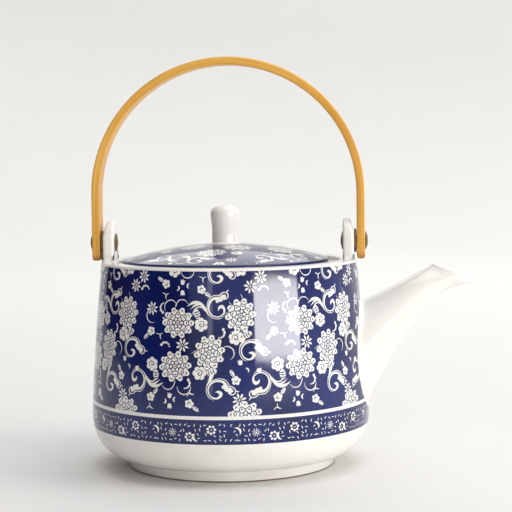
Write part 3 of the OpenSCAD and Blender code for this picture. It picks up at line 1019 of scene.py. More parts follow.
@dataclass
class PotBody:
    """The pot's body: a thrown wall printed with the main field and the border, foot, rim and seat."""

    wall: PotWall
    spout: Spout
    wall_t: float = 4.0
    floor_z: float = 9.0
    foot_r: float = 55.3
    foot_w: float = 4.5
    rim_w: float = 8.7
    seat_drop: float = 2.4
    seat_w: float = 7.0
    shelf_t: float = 4.0
    shelf_slope: float = 9.0
    pour_r: float = 9.0
    border_low: float = 22.4
    border_high: float = 34.5
    ring_high: float = 36.2
    field_high: float = 105.8
    print_low: float = 19.5
    print_top: float = 106.0
    repeats: int = 7
    border_repeats: int = 11
    field_shift: float = 21.0  # how far the repeat's own start lies past +X, in mm
    row_gap: float = 2.9
    strokes_apart: float = 2.3
    strokes_clear: float = 3.1

    def __post_init__(self) -> None:
        """Works out the repeat widths and the pour hole's height."""
        turn = 2 * math.pi * self.wall.spread_r
        self.field_w = turn / self.repeats
        self.border_w = turn / self.border_repeats
        self.pour_z = (self.spout.top_z + self.spout.low_z) / 2

    def repeat_drawing(
        self, width: float, low: float, high: float, ground: tuple[float, float],
        layout: Sequence[Spot], start: float, extra: Sequence[Shape],
    ) -> Drawing:
        """One repeat, from x = 0 to width, with its neighbours' motifs where they reach in.

        Args:
            width: the repeat's width.
            low: lowest height of the cut piece of wall.
            high: its highest.
            ground: lowest and highest height of the cobalt ground.
            layout: motifs with x, height and turn.
            start: x in the layout at the repeat's left edge.
            extra: shapes drawn on top.

        Returns:
            The drawing.
        """
        across = round(COLUMNS * width / (2 * math.pi * self.wall.spread_r))
        up = round((high - low) / self.row_gap)
        x, y = np.linspace(0, width, across + 1), np.linspace(low, high, up + 1)
        domain, inner = lattice(x, y)
        shapes: list[Shape] = [(band(x, *ground), Ink.COBALT)]
        for motif, mx, my, turn in layout:
            for shift in (-width, 0, width):
                centre = (mx - start) % width + shift
                shapes += moved(motif(), centre, my, turn)
        shapes = [s for s in shapes if reaches(s[0], (0, ground[0]), (width, ground[1]))]
        edges = [(band(x, low - 30, ground[0]), Ink.WHITE), (band(x, ground[1], high + 30), Ink.WHITE)]
        return draw(domain, [*shapes, *edges, *extra], inner)

    def on_wall(self, drawing: Drawing, start: float) -> Skin:
        """A drawing placed on the wall with its left edge at that way round."""
        flat = drawing.points + (start, 0)
        return Skin(self.wall.place(flat), drawing.triangles.tolist(), drawing.inks, self.wall.normals(flat))

    def printed_wall(self) -> list[Skin]:
        """The decorated part of the wall: the repeats of the border and of the main field."""
        split = (self.border_high + self.ring_high) / 2
        border = self.repeat_drawing(
            self.border_w, self.print_low, split, (self.border_low, self.border_high),
            (*BORDER, *self.border_dashes()), 0, [],
        )
        skins = [self.on_wall(border, k * self.border_w) for k in range(self.border_repeats)]
        field_args = (self.field_w, split, self.print_top, (self.ring_high, self.field_high), FIELD)
        first = -self.field_shift - self.field_w / 2
        plain = self.repeat_drawing(*field_args, first, [])
        half = self.field_w / 2
        patch = self.spout.footprint(0, self.spout.fillet * 0.8) + (half, 0)
        patch = patch[patch[:, 1] > split - 3]
        hole = self.pour_outline(self.wall.radius) + (half, 0)
        with_hole = self.repeat_drawing(*field_args, first, [(patch, Ink.WHITE), (hole, Ink.HOLE)])
        for k in range(self.repeats):
            skins.append(self.on_wall(with_hole if k == 0 else plain, -half + k * self.field_w))
        return skins

    def border_dashes(self) -> list[Spot]:
        """Short strokes scattered over the border between its flowers, on a jittered grid."""
        rng = np.random.default_rng(7)
        columns, rows = np.arange(1.0, self.border_w, self.strokes_apart), (24.6, 27.0, 29.4, 31.8)
        grid = [(x, z) for x in columns for z in rows]
        half = self.border_w / 2
        kept = []
        for x, z in grid:
            jx, jz, turn = rng.uniform(-0.6, 0.6), rng.uniform(-0.5, 0.5), rng.uniform(0, 360)
            away = [
                math.hypot((x + jx - bx + half) % self.border_w - half, z + jz - bz)
                for _, bx, bz, _ in BORDER
            ]
            if min(away) > self.strokes_clear:
                kept.append((dash, x + jx, z + jz, turn))
        return kept

    def pour_outline(self, radius_at: Callable[[np.ndarray], np.ndarray]) -> np.ndarray:
        """The pour hole on an unrolled side of the wall: a round bore along X through a curved sheet."""
        ring = oval(self.pour_r, self.pour_r, 32, (0, self.pour_z))
        around = np.arcsin(ring[:, 0] / radius_at(ring[:, 1])) * self.wall.spread_r
        return np.column_stack([around, ring[:, 1]])

    def inner_radius(self, z: np.ndarray) -> np.ndarray:
        """Radius of the inside at height z, one wall thickness in, with its own elliptical corner."""
        wall = self.wall
        drop = np.clip((wall.belly_z - z) / (wall.belly_z - self.floor_z), 0, 1)
        corner = wall.belly_r - wall.corner_w + (wall.corner_w - self.wall_t) * np.sqrt(1 - drop**2)
        return np.where(z < wall.belly_z, corner, wall.radius(z) - self.wall_t)

    def build(self) -> Skin:
        """The whole closed skin: underside, foot, printed wall, rim, seat and inside."""
        wall = self.wall
        corner_r = wall.belly_r - wall.corner_w
        inner_foot = self.foot_r - 1.5 - self.foot_w
        under_z = wall.foot_h - 1
        low = rounded([
            (0, under_z, 0), (inner_foot * 0.5, under_z, 0), (inner_foot - 1, under_z, 1.5),
            (inner_foot, 0.35, 0.6),
            (inner_foot + 0.4, 0, 0), (self.foot_r - 2.3, 0, 0.5), (self.foot_r - 1.2, 0.7, 0.8),
            (self.foot_r - 0.2, wall.foot_h - 0.3, 1.2), (corner_r + 2.5, wall.foot_h + 0.15, 0),
        ])
        z = wall.foot_h + (self.print_low - wall.foot_h) * np.linspace(0.018, 1, 22) ** 1.6
        outside = np.column_stack([wall.radius(z), z])
        outside = outside[outside[:, 0] > low[-1, 0] + 0.3]
        bottom = np.vstack([low, outside])
        standing = (bottom[:-1, 1] < 0.9) & (bottom[1:, 1] < 0.9)
        rim_r = wall.radius(np.array(wall.rim_z)).item()
        seat_r = rim_r - self.rim_w
        seat_z = wall.rim_z - self.seat_drop
        mouth_r = seat_r - self.seat_w
        slope_z = seat_z - self.shelf_t - self.shelf_slope
        over_rim = rounded([
            (wall.radius(np.array(self.print_top)).item(), self.print_top, 0),
            (rim_r, wall.rim_z, 1.0), (seat_r, wall.rim_z, 0.8), (seat_r, seat_z, 0.5),
            (mouth_r, seat_z, 0.8), (mouth_r, seat_z - self.shelf_t, 0.8),
            (self.inner_radius(np.array(slope_z)).item(), slope_z, 4.0),
            (self.inner_radius(np.array(slope_z - 8.0)).item(), slope_z - 8.0, 0),
        ])
        pour_low, pour_high = self.pour_z - self.pour_r - 3, self.pour_z + self.pour_r + 3
        upper_z = np.linspace(slope_z - 8.0, pour_high, 4)
        upper = np.vstack([over_rim, np.column_stack([self.inner_radius(upper_z), upper_z])[1:]])
        lower_z = np.concatenate([
            np.linspace(pour_low, wall.belly_z, 6)[:-1],
            wall.belly_z - (wall.belly_z - self.floor_z) * np.sin(np.linspace(0, math.pi / 2, 14)),
        ])
        lower = np.column_stack([self.inner_radius(lower_z), lower_z])
        lower = np.vstack([lower, [[corner_r / 2, self.floor_z], [0, self.floor_z]]])
        clay = np.where(standing, 2, Ink.WHITE.value)
        return joined([
            revolved(bottom, COLUMNS, clay),
            *self.printed_wall(),
            revolved(upper, COLUMNS),
            self.pierced_inside(pour_low, pour_high),
            revolved(lower, COLUMNS),
            self.pour_tube(),
        ])

    def pierced_inside(self, low: float, high: float) -> Skin:
        """The inside of the wall between two heights, with the pour hole cut out of it."""
        turn = 2 * math.pi * self.wall.spread_r
        x = np.linspace(-turn / 2, turn / 2, COLUMNS + 1)
        domain, inner = lattice(x, np.linspace(low, high, 8))
        inner = inner[np.hypot(inner[:, 0], inner[:, 1] - self.pour_z) >= self.pour_r + 1.5]
        drawing = draw(domain, [(self.pour_outline(self.inner_radius), Ink.HOLE)], inner)
        faces = drawing.triangles[:, ::-1].tolist()
        slots, normals = np.zeros(len(faces), int), -self.wall.normals(drawing.points)
        return Skin(self.on_inside(drawing.points), faces, slots, normals)

    def on_inside(self, flat: np.ndarray) -> np.ndarray:
        """Points on the inside for (way round in mm at the wall's spread_r, height)."""
        return about_z(self.inner_radius(flat[:, 1]), flat[:, 0] / self.wall.spread_r, flat[:, 1])

    def pour_tube(self) -> Skin:
        """The bore through the wall, between the hole's outline outside and inside."""
        outer = self.wall.place(self.pour_outline(self.wall.radius))
        inner = self.on_inside(self.pour_outline(self.inner_radius))
        inward = -(outer - (0, 0, self.pour_z)) * (0, 1, 1) / self.pour_r
        faces = [f[::-1] for f in grid_faces(2, len(outer), True)]
        return Skin(np.vstack([inner, outer]), faces, np.zeros(len(faces), int), np.vstack([inward, inward]))

    def make(self, materials: Sequence[bpy.types.Material]) -> bpy.types.Object:
        """The body's piece."""
        return make_piece("pot_body", self.build(), materials, "pot",
                          ["body_shell", "body_base"], None)


@dataclass
class Lug:
    """A rivet lug: a round-topped plate that thins towards its top and flares into the rim."""

    side: int
    node: str
    bore_r: float = 2.25
    flare: float = 3.0
    thin: float = 1.9
    round_r: float = 1.3
    sink: float = 0.7

    def outline(self, width: float, low: float, high: float) -> np.ndarray:
        """The plate's outline (y, z), anticlockwise from its lower right corner."""
        half = width / 2
        top = [(half * math.cos(a), high - half + half * math.sin(a)) for a in np.linspace(0, math.pi, 33)]
        a = np.radians(np.linspace(270, 180, 9))
        edge, rise = half + self.flare, low + self.flare
        right = np.column_stack([edge + self.flare * np.cos(a), rise + self.flare * np.sin(a)])
        left = np.column_stack([-right[:, 0], right[:, 1]])[::-1]
        foot = np.column_stack([np.linspace(-edge, edge, 14)[1:-1], np.full(12, low - self.sink)])
        return np.vstack([right, top, left, foot])

    def build(self) -> Skin:
        """The lug's closed skin: round its outline goes a rounded rectangle that starts at the bore."""
        lo, hi = box_of(self.node)
        pivot_lo, pivot_hi = box_of(self.node.replace("lug", "spacer_washer"))
        pivot_z = (pivot_lo[2] + pivot_hi[2]) / 2
        thickness = hi[0] - lo[0]
        outer_x = hi[0] if self.side > 0 else -lo[0]
        edge = self.outline(hi[1] - lo[1] - 2 * self.flare, lo[2], hi[2])
        way = np.roll(edge, -1, 0) - np.roll(edge, 1, 0)
        out = np.column_stack([way[:, 1], -way[:, 0]]) / np.linalg.norm(way, axis=1)[:, None]
        direction = edge - (0, pivot_z)
        bore = (0, pivot_z) + self.bore_r * direction / np.linalg.norm(direction, axis=1)[:, None]
        r = self.round_r
        rings = []
        for k in np.linspace(0, math.pi / 2, 6):
            rings.append((edge - out * r * (1 - math.sin(k)), thickness - r * (1 - math.cos(k))))
        for k in np.linspace(math.pi / 2, 0, 6):
            rings.append((edge - out * r * (1 - math.sin(k)), r * (1 - math.cos(k))))
        flat_front, flat_back = rings[0][0], rings[-1][0]
        steps = (0.0, 0.33, 0.66)
        front = [(bore + (flat_front - bore) * s, thickness) for s in steps]
        back = [(flat_back + (bore - flat_back) * s, 0.0) for s in (0.34, 0.67, 1.0)]
        loops = front + rings + back
        points = np.vstack([np.column_stack([np.full(len(p), x), p]) for p, x in loops])
        taper = self.thin * np.clip((points[:, 2] - pivot_z - 3) / (hi[2] - pivot_z - 3), 0, 1)
        depth = points[:, 0] / thickness
        points[:, 0] = outer_x - thickness + points[:, 0] - taper * depth
        faces = grid_faces(len(loops), len(edge), True, over=True)
        skin = Skin(points, [f[::-1] for f in faces], np.zeros(len(faces), int))
        if self.side < 0:
            return skin.mapped(lambda p: p * (-1, 1, 1)).flipped()
        return skin

    def make(self, materials: Sequence[bpy.types.Material]) -> bpy.types.Object:
        """The lug's piece."""
        name, skin = self.node + "_ear", self.build()
        return make_piece(name, skin, materials, "pot", [self.node], 60)


# Where the motifs stand on the lid: distance from its centre, degrees round it, turn.
LID_TOP: tuple[Spot, ...] = tuple(
    spot
    for k in range(5)
    for spot in (
        (scroll, 43.5, 72 * k + 12, 72 * k - 80),
        (scroll, 47.0, 72 * k + 40, 72 * k + 100),
        (dahlia, 32.5, 72 * k + 46, 72 * k),
        (dahlia, 20.0, 72 * k + 4, 72 * k + 40),
        (blossom, 52.0, 72 * k + 55, 72 * k + 20),
        (blossom, 34.0, 72 * k + 68, 72 * k + 50),
        (daisy, 45.5, 72 * k + 62, 72 * k),
        (tendril, 50.0, 72 * k + 73, 72 * k),
        (crown_bud, 51.5, 72 * k + 26, 72 * k + 90),
        (sickle, 35.5, 72 * k + 25, 72 * k + 60),
        (twig, 14.5, 72 * k + 40, 72 * k),
    )
)


@dataclass
class Lid:
    """The drop-in lid: a printed dome with a cobalt edge, a locating ring below, and a vent hole."""

    edge_t: float = 2.0
    thickness: float = 3.5
    flange_r: float = 46.8
    flange_t: float = 3.0
    flange_h: float = 6.5
    vent_r: float = 1.2
    vent_y: float = 30.0
    round_r: float = 0.7
    line_w: float = 0.8
    columns: int = 140

    def __post_init__(self) -> None:
        """Reads the lid's size from its node."""
        lo, hi = box_of("lid")
        self.centre_x = (lo[0] + hi[0]) / 2
        self.radius = (hi[0] - lo[0]) / 2
        self.low_z = lo[2] + self.flange_h
        self.top_z = hi[2]
        rise = self.top_z - self.low_z - self.edge_t
        self.dome_r = (self.radius**2 + rise**2) / (2 * rise)

    def dome_z(self, r: np.ndarray | float) -> np.ndarray:
        """Height of the dome at distance r from its axis: a sphere's cap."""
        return self.top_z - self.dome_r + np.sqrt(self.dome_r**2 - np.square(r))

    def disc(self, radius: float, shapes: Sequence[Shape], gap: float) -> Drawing:
        """A drawing on a disc with the vent hole cut out of it."""
        domain = oval(radius, radius, self.columns)
        side = np.arange(-radius, radius, gap)
        gx, gy = np.meshgrid(side, side)
        clear = (np.hypot(gx, gy) < radius - 1) & (np.hypot(gx, gy - self.vent_y) > self.vent_r + 0.5)
        inner = np.column_stack([gx[clear], gy[clear]])
        vent = oval(self.vent_r, self.vent_r, 16, (0, self.vent_y))
        return draw(domain, [*shapes, (vent, Ink.HOLE)], inner)

    def edge_line(self, brim: float) -> list[Shape]:
        """The solid cobalt line round the print, as two half rings that reach past the brim."""
        a = np.linspace(0, math.pi, self.columns // 2 + 1)
        way = np.column_stack([np.cos(a), np.sin(a)])
        half = np.vstack([way * (brim + 12), way[::-1] * (brim - self.line_w)])
        return [(half, Ink.COBALT), (half * (1, -1), Ink.COBALT)]

    def on_dome(self, drawing: Drawing, drop: float, up: bool) -> Skin:
        """A disc's drawing placed on the dome, or on its underside."""
        r = np.hypot(drawing.points[:, 0], drawing.points[:, 1])
        points = np.column_stack([drawing.points, self.dome_z(r) - drop])
        normals = np.column_stack([drawing.points, np.sqrt(self.dome_r**2 - r**2)]) / self.dome_r
        triangles = drawing.triangles if up else drawing.triangles[:, ::-1]
        return Skin(points, triangles.tolist(), drawing.inks, normals if up else -normals)

    def build(self) -> Skin:
        """The lid's closed skin."""
        brim = self.radius - self.round_r * 1.2
        under_r = self.flange_r - self.flange_t
        ground = [(oval(brim + 1, brim + 1, self.columns), Ink.COBALT)]
        for motif, r, around, turn in LID_TOP:
            a = math.radians(around)
            ground += moved(motif(), r * math.cos(a), r * math.sin(a), turn, 0.92)
        top = self.on_dome(self.disc(brim, [*ground, *self.edge_line(brim)], 3.4), 0, True)
        under = self.on_dome(self.disc(under_r, [], 8.0), self.thickness, False)
        edge = rounded([
            (under_r, self.dome_z(under_r) - self.thickness, 0),
            (under_r, self.low_z - self.flange_h, 0.8), (self.flange_r, self.low_z - self.flange_h, 0.8),
            (self.flange_r, self.low_z, 0.6), (self.radius, self.low_z, 0.5),
            (self.radius, self.low_z + self.edge_t, self.round_r), (brim, self.dome_z(brim).item(), 0),
        ])
        outside = edge[:-1, 0] > self.radius - 0.9
        skirt = revolved(edge, self.columns, np.where(outside, Ink.COBALT.value, Ink.WHITE.value))
        vent = oval(self.vent_r, self.vent_r, 16, (0, self.vent_y))
        r = np.hypot(vent[:, 0], vent[:, 1])
        tube_points = np.vstack([
            np.column_stack([vent, self.dome_z(r) - self.thickness]), np.column_stack([vent, self.dome_z(r)])
        ])
        inward = np.tile(np.column_stack([(0, self.vent_y) - vent, 0 * r]) / self.vent_r, (2, 1))
        tube_faces = [f[::-1] for f in grid_faces(2, 16, True)]
        tube = Skin(tube_points, tube_faces, np.zeros(16, int), inward)
        whole = joined([top, under, skirt, tube])
        return whole.mapped(lambda p: p + (self.centre_x, 0, 0))

    def knob(self) -> Skin:
        """The knob's closed skin: a flared foot, a slight waist, a fuller head with a rounded top."""
        lo, hi = box_of("lid_knob")
        flare_r = (hi[0] - lo[0]) / 2
        waist_r, head_r, top = flare_r - 1.4, flare_r - 0.7, hi[2]
        foot_z = self.dome_z(flare_r).item()
        foot = rounded([
            (0, foot_z - 0.4, 0), (flare_r, foot_z - 0.4, 0), (flare_r, foot_z + 0.1, 0),
            (waist_r + 0.1, foot_z + 0.5, 1.6), (waist_r, foot_z + 5.5, 0),
        ], steps=7)
        rise = top - 4.8 - (foot_z + 5.5)
        t = np.linspace(0, 1, 10)[1:-1, None]
        neck = np.array([[waist_r, foot_z + 5.5]]) + t * np.array([[0, rise]])
        neck[:, 0] += (head_r - waist_r) * (3 * t**2 - 2 * t**3)[:, 0]
        a = np.linspace(0, math.pi / 2, 14)
        power = 0.86
        head = np.column_stack([head_r * np.cos(a) ** power, top - 4.8 + 4.8 * np.sin(a) ** power])
        head[-1, 0] = 0
        skin = revolved(np.vstack([foot, neck, head]), 72)
        return skin.mapped(lambda p: p + (self.centre_x, 0, 0))

    def make(self, printed: Sequence[bpy.types.Material], plain: Sequence[bpy.types.Material]) -> None:
        """The lid's and the knob's pieces."""
        make_piece("lid_dome", self.build(), printed, "lid", ["lid"], None)
        make_piece("lid_grip", self.knob(), plain, "lid", ["lid_knob"], 40)


@dataclass
class BambooHandle:
    """The bail: one bamboo strip bent into two legs and a half circle."""

    thickness: float = 4.2
    corner_r: float = 0.7
    chamfer: float = 1.0
    arc_rows: int = 110
    leg_rows: int = 16

    def build(self) -> tuple[Skin, np.ndarray, np.ndarray]:
        """The strip's closed skin, each point's way along, across and through it, and its cut ends.

        The section, a rounded rectangle, is carried along the centre line: up one leg, round the
        half circle, and down the other leg; its first and last rows are drawn in as a chamfer.
        """
        lo, hi = box_of("handle_bow")
        radius = hi[0] - self.thickness / 2
        width = hi[1] - lo[1]
        centre_z = hi[2] - hi[0]
        leg = centre_z - lo[2]
        length = 2 * leg + math.pi * radius
        inset_rows = np.array([1.0, 0.72, 0.35, 0.12, 0.0]) * self.chamfer
        along_ends = np.array([0.0, 0.1, 0.4, 0.75, 1.2]) * self.chamfer
        legs = np.linspace(along_ends[-1], leg, self.leg_rows)[1:]
        arc = leg + math.pi * radius * np.linspace(0, 1, self.arc_rows)[1:-1]
        along = np.concatenate([along_ends, legs, arc, length - legs[::-1], length - along_ends[::-1]])
        inset = np.interp(np.minimum(along, length - along), along_ends, inset_rows)
        section = rounded([
            (width / 2, -self.thickness / 2, self.corner_r), (width / 2, self.thickness / 2, self.corner_r),
            (-width / 2, self.thickness / 2, self.corner_r), (-width / 2, -self.thickness / 2, self.corner_r),
        ], closed=True, steps=4)
        across, through = section[:, 0], section[:, 1]
        shrink_w = 1 - inset[:, None] / (width / 2)
        shrink_t = 1 - inset[:, None] / (self.thickness / 2)
        y, out = across * shrink_w, through * shrink_t
        turn = np.clip((along - leg) / radius, 0, math.pi)[:, None]
        below = (np.minimum(along - leg, 0) + np.minimum(length - along - leg, 0))[:, None]
        x = (radius + out) * np.cos(turn)
        z = centre_z + (radius + out) * np.sin(turn) + below
        points = np.stack([x, y, z], -1).reshape(-1, 3)
        n, rows = len(section), len(along)
        faces = [f[::-1] for f in grid_faces(rows, n, True)]
        faces += [list(range(n)), list(range((rows - 1) * n, rows * n))[::-1]]
        strip = np.stack([np.broadcast_to(along[:, None], y.shape), y, out], -1).reshape(-1, 3) * MM
        near_end = np.minimum(along, length - along)
        cut = np.clip(1 - (near_end - self.chamfer * 0.8) / 1.6, 0, 1) * 0.75
        return Skin(points, faces, np.zeros(len(faces), int)), strip, np.repeat(cut, n)

    def make(self, materials: Sequence[bpy.types.Material]) -> bpy.types.Object:
        """The strip's piece; its rivet bores are filled by the shanks and hidden by the washers."""
        skin, strip, cut = self.build()
        piece = make_piece("bamboo_bail", skin, materials, "handle", ["handle_bow"], 40)
        piece.data.attributes.new("strip", "FLOAT_VECTOR", "POINT").data.foreach_set(
            "vector", strip.astype(np.float32).ravel())
        ends = piece.data.attributes.new("cut_end", "FLOAT", "POINT")
        ends.data.foreach_set("value", cut.astype(np.float32))
        return piece


@dataclass
class PivotHardware:
    """One side's rivet and washers, turned about the pivot's axis."""

    side: str
    shank_r: float = 2.0
    loose: float = 0.25
    columns: int = 40

    def about_x(
        self,
        profile: np.ndarray,
        name: str,
        node: str,
        materials: Sequence[bpy.types.Material],
        sharp: float,
    ) -> None:
        """A piece from a profile (r, x) turned about the pivot; x counts outwards from the pot's axis."""
        lo, hi = box_of(node)
        centre_z = (lo[2] + hi[2]) / 2
        way = 1 if self.side == "right" else -1
        skin = revolved(profile, self.columns, over=bool(profile[0, 0] > 0.01))

        def place(p: np.ndarray) -> np.ndarray:
            return np.column_stack([way * p[:, 2], way * p[:, 0], p[:, 1] + centre_z])

        make_piece(name, skin.mapped(place), materials, "pot", [node], sharp)

    def span(self, node: str) -> tuple[float, float, float]:
        """A node's inner face, outer face and radius, with x counted outwards."""
        lo, hi = box_of(node)
        xs = sorted((abs(lo[0]), abs(hi[0])))
        return xs[0], xs[1], (hi[2] - lo[2]) / 2

    def washer(self, kind: str, materials: Sequence[bpy.types.Material]) -> None:
        """A stamped washer: flat, with rounded edges and a slightly dished face."""
        node = f"{kind}_washer_{self.side}"
        a, b, r = self.span(node)
        bore = self.shank_r + self.loose
        soft = min(0.35, (b - a) * 0.4)
        dish = (b - a) * 0.12
        profile = rounded([
            (bore, b, 0.15), (bore, a, 0.15), ((bore + r) / 2, a, 0), (r, a, soft),
            (r, b - dish, soft), (r * 0.8, b, 0.5),
        ], closed=True, steps=4)
        self.about_x(profile, node + "_plate", node, materials, 45)

    def rivet(self, materials: Sequence[bpy.types.Material]) -> None:
        """The rivet: a domed head, a shank, and a peened tail."""
        node = f"pivot_rivet_{self.side}"
        tail_x, head_x, head_r = self.span(node)
        seat_x = self.span(f"outer_washer_{self.side}")[1]
        tail_seat = self.span(f"inner_washer_{self.side}")[0]
        tail_r = self.shank_r * 1.4
        a = np.linspace(0, math.pi / 2, 10)
        dome = np.column_stack([head_r * np.cos(a), seat_x + 0.15 + (head_x - seat_x - 0.15) * np.sin(a)])
        peened = rounded([
            (0, tail_x, 0), (tail_r * 0.55, tail_x, 0.3), (tail_r, tail_x + (tail_seat - tail_x) * 0.6, 0.3),
            (tail_r, tail_seat, 0), (self.shank_r, tail_seat, 0), (self.shank_r, seat_x, 0),
            (head_r, seat_x, 0),
        ])
        dome[-1, 0] = 0
        self.about_x(np.vstack([peened, dome]), node + "_body", node, materials, 40)

    def make(self, materials: Sequence[bpy.types.Material]) -> None:
        """All the pieces of this side."""
        for kind in ("outer", "spacer", "inner"):
            self.washer(kind, materials)
        self.rivet(materials)


@dataclass
class Infuser:
    """The drop-in infuser: a rolled rim, a pierced wall between plain bands, a pierced base."""

    sheet_t: float = 0.6
    hole_r: float = 0.62
    pitch: float = 2.6
    band: float = 6.0

    def wall(self) -> Skin:
        """The wall: a flat strip pierced on a staggered grid and rolled up."""
        lo, hi = box_of("infuser_wall")
        r = hi[0]
        length = 2 * math.pi * r
        count = round(length / self.pitch)
        step = length / count
        rows = int((hi[2] - lo[2] - 2 * self.band) / (self.pitch * 0.9))
        heights = lo[2] + self.band + self.pitch * 0.9 * (0.5 + np.arange(rows))
        bottom = np.column_stack([np.linspace(0, length, count + 1), np.full(count + 1, lo[2])])
        top = bottom[::-1] * (1, 0) + (0, hi[2])
        domain = np.vstack([bottom, top])
        holes = [
            (oval(self.hole_r, self.hole_r, 8, ((k + 0.5 * (i % 2) + 0.25) * step, z)), Ink.HOLE)
            for i, z in enumerate(heights) for k in range(count)
        ]
        drawing = draw(domain, holes, np.zeros((0, 2)))

        return thick_sheet(
            drawing,
            lambda p: about_z(r, p[:, 0] / r, p[:, 1]),
            lambda p: about_z(r - self.sheet_t, p[:, 0] / r, p[:, 1]),
        )

    def base(self) -> Skin:
        """The base: a disc pierced in rings."""
        lo, hi = box_of("infuser_base")
        r, gap = hi[0], self.pitch * 1.25
        holes = []
        for ring in np.arange(self.pitch * 1.4, r - 5, gap):
            count = int(2 * math.pi * ring / gap)
            holes += [
                (oval(self.hole_r, self.hole_r, 8, (ring * math.cos(a), ring * math.sin(a))), Ink.HOLE)
                for a in 2 * math.pi * np.arange(count) / count
            ]
        drawing = draw(oval(r, r, 96), holes, np.zeros((0, 2)))
        return thick_sheet(
            drawing,
            lambda p: np.column_stack([p, np.full(len(p), hi[2])]),
            lambda p: np.column_stack([p, np.full(len(p), lo[2])]),
        )

    def rim(self) -> Skin:
        """The rim: a flat ring with a rolled outer edge."""
        lo, hi = box_of("infuser_rim")
        wall_r = box_of("infuser_wall")[1][0]
        profile = rounded([
            (wall_r - self.sheet_t, hi[2], 0.35), (wall_r - self.sheet_t, lo[2], 0), (wall_r, lo[2], 0),
            (hi[0], lo[2], 0.35), (hi[0], hi[2], 0.35),
        ], closed=True, steps=4)
        return revolved(profile[::-1], 120, over=True).flipped()

    def make(self, materials: Sequence[bpy.types.Material]) -> None:
        """The infuser's pieces."""
        for name, skin, node in (
            ("infuser_pierced_wall", self.wall(), "infuser_wall"),
            ("infuser_pierced_base", self.base(), "infuser_base"),
            ("infuser_rolled_rim", self.rim(), "infuser_rim"),
        ):
            make_piece(name, skin, materials, "infuser", [node], 40)


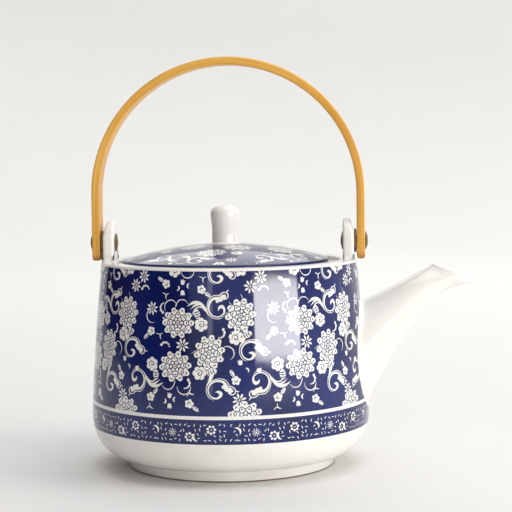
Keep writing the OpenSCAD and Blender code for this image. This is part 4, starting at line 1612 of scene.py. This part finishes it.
# ---- Studio ----
@dataclass
class Studio:
    """A pale seamless sweep, soft boxes and the camera."""

    camera_mm: tuple[float, float, float] = (61.4, -797.6, 161.6)
    azimuth: float = 3.386
    pitch: float = 3.79
    roll: float = 0.733
    lens_mm: float = 107.39
    sensor_mm: float = 36.0
    floor_colour: str = "#E9E8E6"
    floor_r: float = 1.6
    bend_r: float = 0.9
    wall_h: float = 3.2
    flag_r: float = 1.25

    def camera(self) -> None:
        """The camera, aimed by azimuth and pitch and then rolled."""
        a, p, r = (math.radians(v) for v in (self.azimuth, self.pitch, self.roll))
        forward = np.array([-math.sin(a) * math.cos(p), math.cos(a) * math.cos(p), -math.sin(p)])
        right = np.cross(forward, (0, 0, 1))
        right /= np.linalg.norm(right)
        up = np.cross(right, forward)
        right, up = right * math.cos(r) - up * math.sin(r), up * math.cos(r) + right * math.sin(r)
        data = bpy.data.cameras.new("camera")
        data.lens, data.sensor_width = self.lens_mm, self.sensor_mm
        data.clip_start, data.clip_end = 0.02, 20.0
        camera = bpy.data.objects.new("camera", data)
        axes = np.column_stack([right, up, -forward])
        camera.matrix_world = Matrix.Translation(Vector(self.camera_mm) * MM) @ Matrix(axes.tolist()).to_4x4()
        bpy.context.scene.collection.objects.link(camera)
        bpy.context.scene.camera = camera

    def sweep(self) -> None:
        """The floor: a round table surface that curves up into a backdrop all round."""
        bend = np.linspace(0, math.pi / 2, 13)[1:]
        flat_r, bend_r = self.floor_r, self.bend_r
        r = np.concatenate([np.linspace(0, flat_r, 9), flat_r + bend_r * np.sin(bend), [flat_r + bend_r] * 2])
        z = np.concatenate([np.zeros(9), bend_r * (1 - np.cos(bend)), [2 * bend_r, self.wall_h]])
        points = about_z(r[:, None], 2 * math.pi * np.arange(97) / 96, z[:, None])
        material, tree, shader = blank("matt_paper_sweep")
        fibre = noise(tree, own_place(tree), 60, 2.0)
        tint = colour_steps(tree, fibre, [(0.3, "#E8E7E5"), (0.7, self.floor_colour)])
        tree.links.new(tint, shader.inputs["Base Color"])
        shader.inputs["Roughness"].default_value = 0.9
        floor = self.backdrop("studio_sweep", points, material)
        floor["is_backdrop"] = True

    def backdrop(self, name: str, points: np.ndarray, material: bpy.types.Material) -> bpy.types.Object:
        """A grid of points in metres, as a smooth mesh that belongs to the studio."""
        mesh = bpy.data.meshes.new(name)
        faces = grid_faces(*points.shape[:2], False)
        mesh.from_pydata(points.reshape(-1, 3).tolist(), [], [f[::-1] for f in faces])
        mesh.polygons.foreach_set("use_smooth", np.ones(len(mesh.polygons), bool))
        mesh.materials.append(material)
        backdrop = bpy.data.objects.new(name, mesh)
        bpy.context.scene.collection.objects.link(backdrop)
        return backdrop

    def soft_box(self, name: str, place: tuple[float, float, float], target: tuple[float, float, float],
                 size: tuple[float, float], watts: float, colour: str = "#FFFFFF", roll: float = 0) -> None:
        """A rectangular area light aimed at a target, in metres, rolled by some degrees."""
        data = bpy.data.lights.new(name, "AREA")
        data.shape, data.size, data.size_y = "RECTANGLE", size[0], size[1]
        data.energy, data.color = watts, linear(colour)[:3]
        light = bpy.data.objects.new(name, data)
        light.location, light.visible_camera = place, False
        aim = (Vector(target) - Vector(place)).to_track_quat("-Z", "Y")
        light.rotation_euler = (aim @ Quaternion((0, 0, 1), math.radians(roll))).to_euler()
        bpy.context.scene.collection.objects.link(light)

    def flag(self) -> None:
        """A dark curved card at the left, seen only in the glaze, like the unlit side of the room."""
        points = about_z(self.flag_r, np.radians(np.linspace(140, 240, 25)), np.array([[0.02], [1.1]]))
        material, tree, shader = blank("dark_felt")
        cloud = noise(tree, own_place(tree), 330, 1.0)
        tint = colour_steps(tree, cloud, [(0.42, "#08080C"), (0.58, "#4A1F2C")])
        tree.links.new(tint, shader.inputs["Base Color"])
        shader.inputs["Roughness"].default_value = 1.0
        card = self.backdrop("dark_flag", points, material)
        card.visible_camera = False
        card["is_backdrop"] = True

    def lights(self) -> None:
        """A low wide key at the front right, a broad top light, a weak strip in front, a dim room."""
        self.soft_box("key_box", (1.09, -1.12, 0.166), (0.0, 0.0, 0.166), (1.12, 0.188), 9.9, "#FFFBF8", -2.0)
        self.soft_box("front_strip", (-0.31, -1.47, 0.25), (0.0, 0.0, 0.1), (0.11, 0.5), 0.32)
        self.soft_box("right_box", (1.7, -0.35, 1.1), (0.0, 0.0, 0.08), (0.9, 1.2), 11.0, "#FFFDFA")
        self.soft_box("top_box", (0.2, 0.1, 1.7), (0.0, 0.0, 0.0), (1.8, 1.6), 17.0)
        self.soft_box("back_box", (0.2, 1.7, 1.25), (0.0, 0.0, 0.05), (2.6, 0.9), 7.0)
        self.soft_box("back_wash", (0.4, 1.1, 1.5), (0.3, 2.4, 0.6), (2.2, 0.8), 9.0)
        world = bpy.data.worlds.new("room")
        world.use_nodes = True
        background = world.node_tree.nodes["Background"]
        background.inputs["Color"].default_value = linear("#DFE1E4")
        background.inputs["Strength"].default_value = 0.5
        bpy.context.scene.world = world

    def make(self) -> None:
        """Everything round the object."""
        self.camera()
        self.sweep()
        self.flag()
        self.lights()
        bpy.context.scene.view_settings.view_transform = "Standard"


def corners() -> list[list[float]]:
    """The shown object's lowest and highest corners, as plain lists."""
    return [list(c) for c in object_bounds()]


def main() -> None:
    """Builds the pot, the lid, the handle, its hardware, the infuser and the studio."""
    logging.basicConfig(level=logging.INFO, format="%(name)s: %(message)s")
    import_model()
    white, cobalt, clay = WHITE_GLAZE.build(), COBALT_GLAZE.build(), BISCUIT.build()
    bamboo, brass, steel = BAMBOO.build(), BRASS.build(), STEEL.build()
    _, body_hi = box_of("body_shell")
    _, spout_hi = box_of("spout")
    wall = PotWall(belly_r=body_hi[1], rim_z=body_hi[2])
    spout = Spout(wall, tip_x=spout_hi[0], lip_z=spout_hi[2])
    PotBody(wall, spout).make([white, cobalt, clay])
    spout.make([white])
    Lug(-1, "lug_left").make([white])
    Lug(1, "lug_right").make([white])
    Lid().make([white, cobalt], [white])
    BambooHandle().make([bamboo])
    for side in ("left", "right"):
        PivotHardware(side).make([brass])
    Infuser().make([steel])
    Studio().make()


if __name__ == "__main__":
    main()
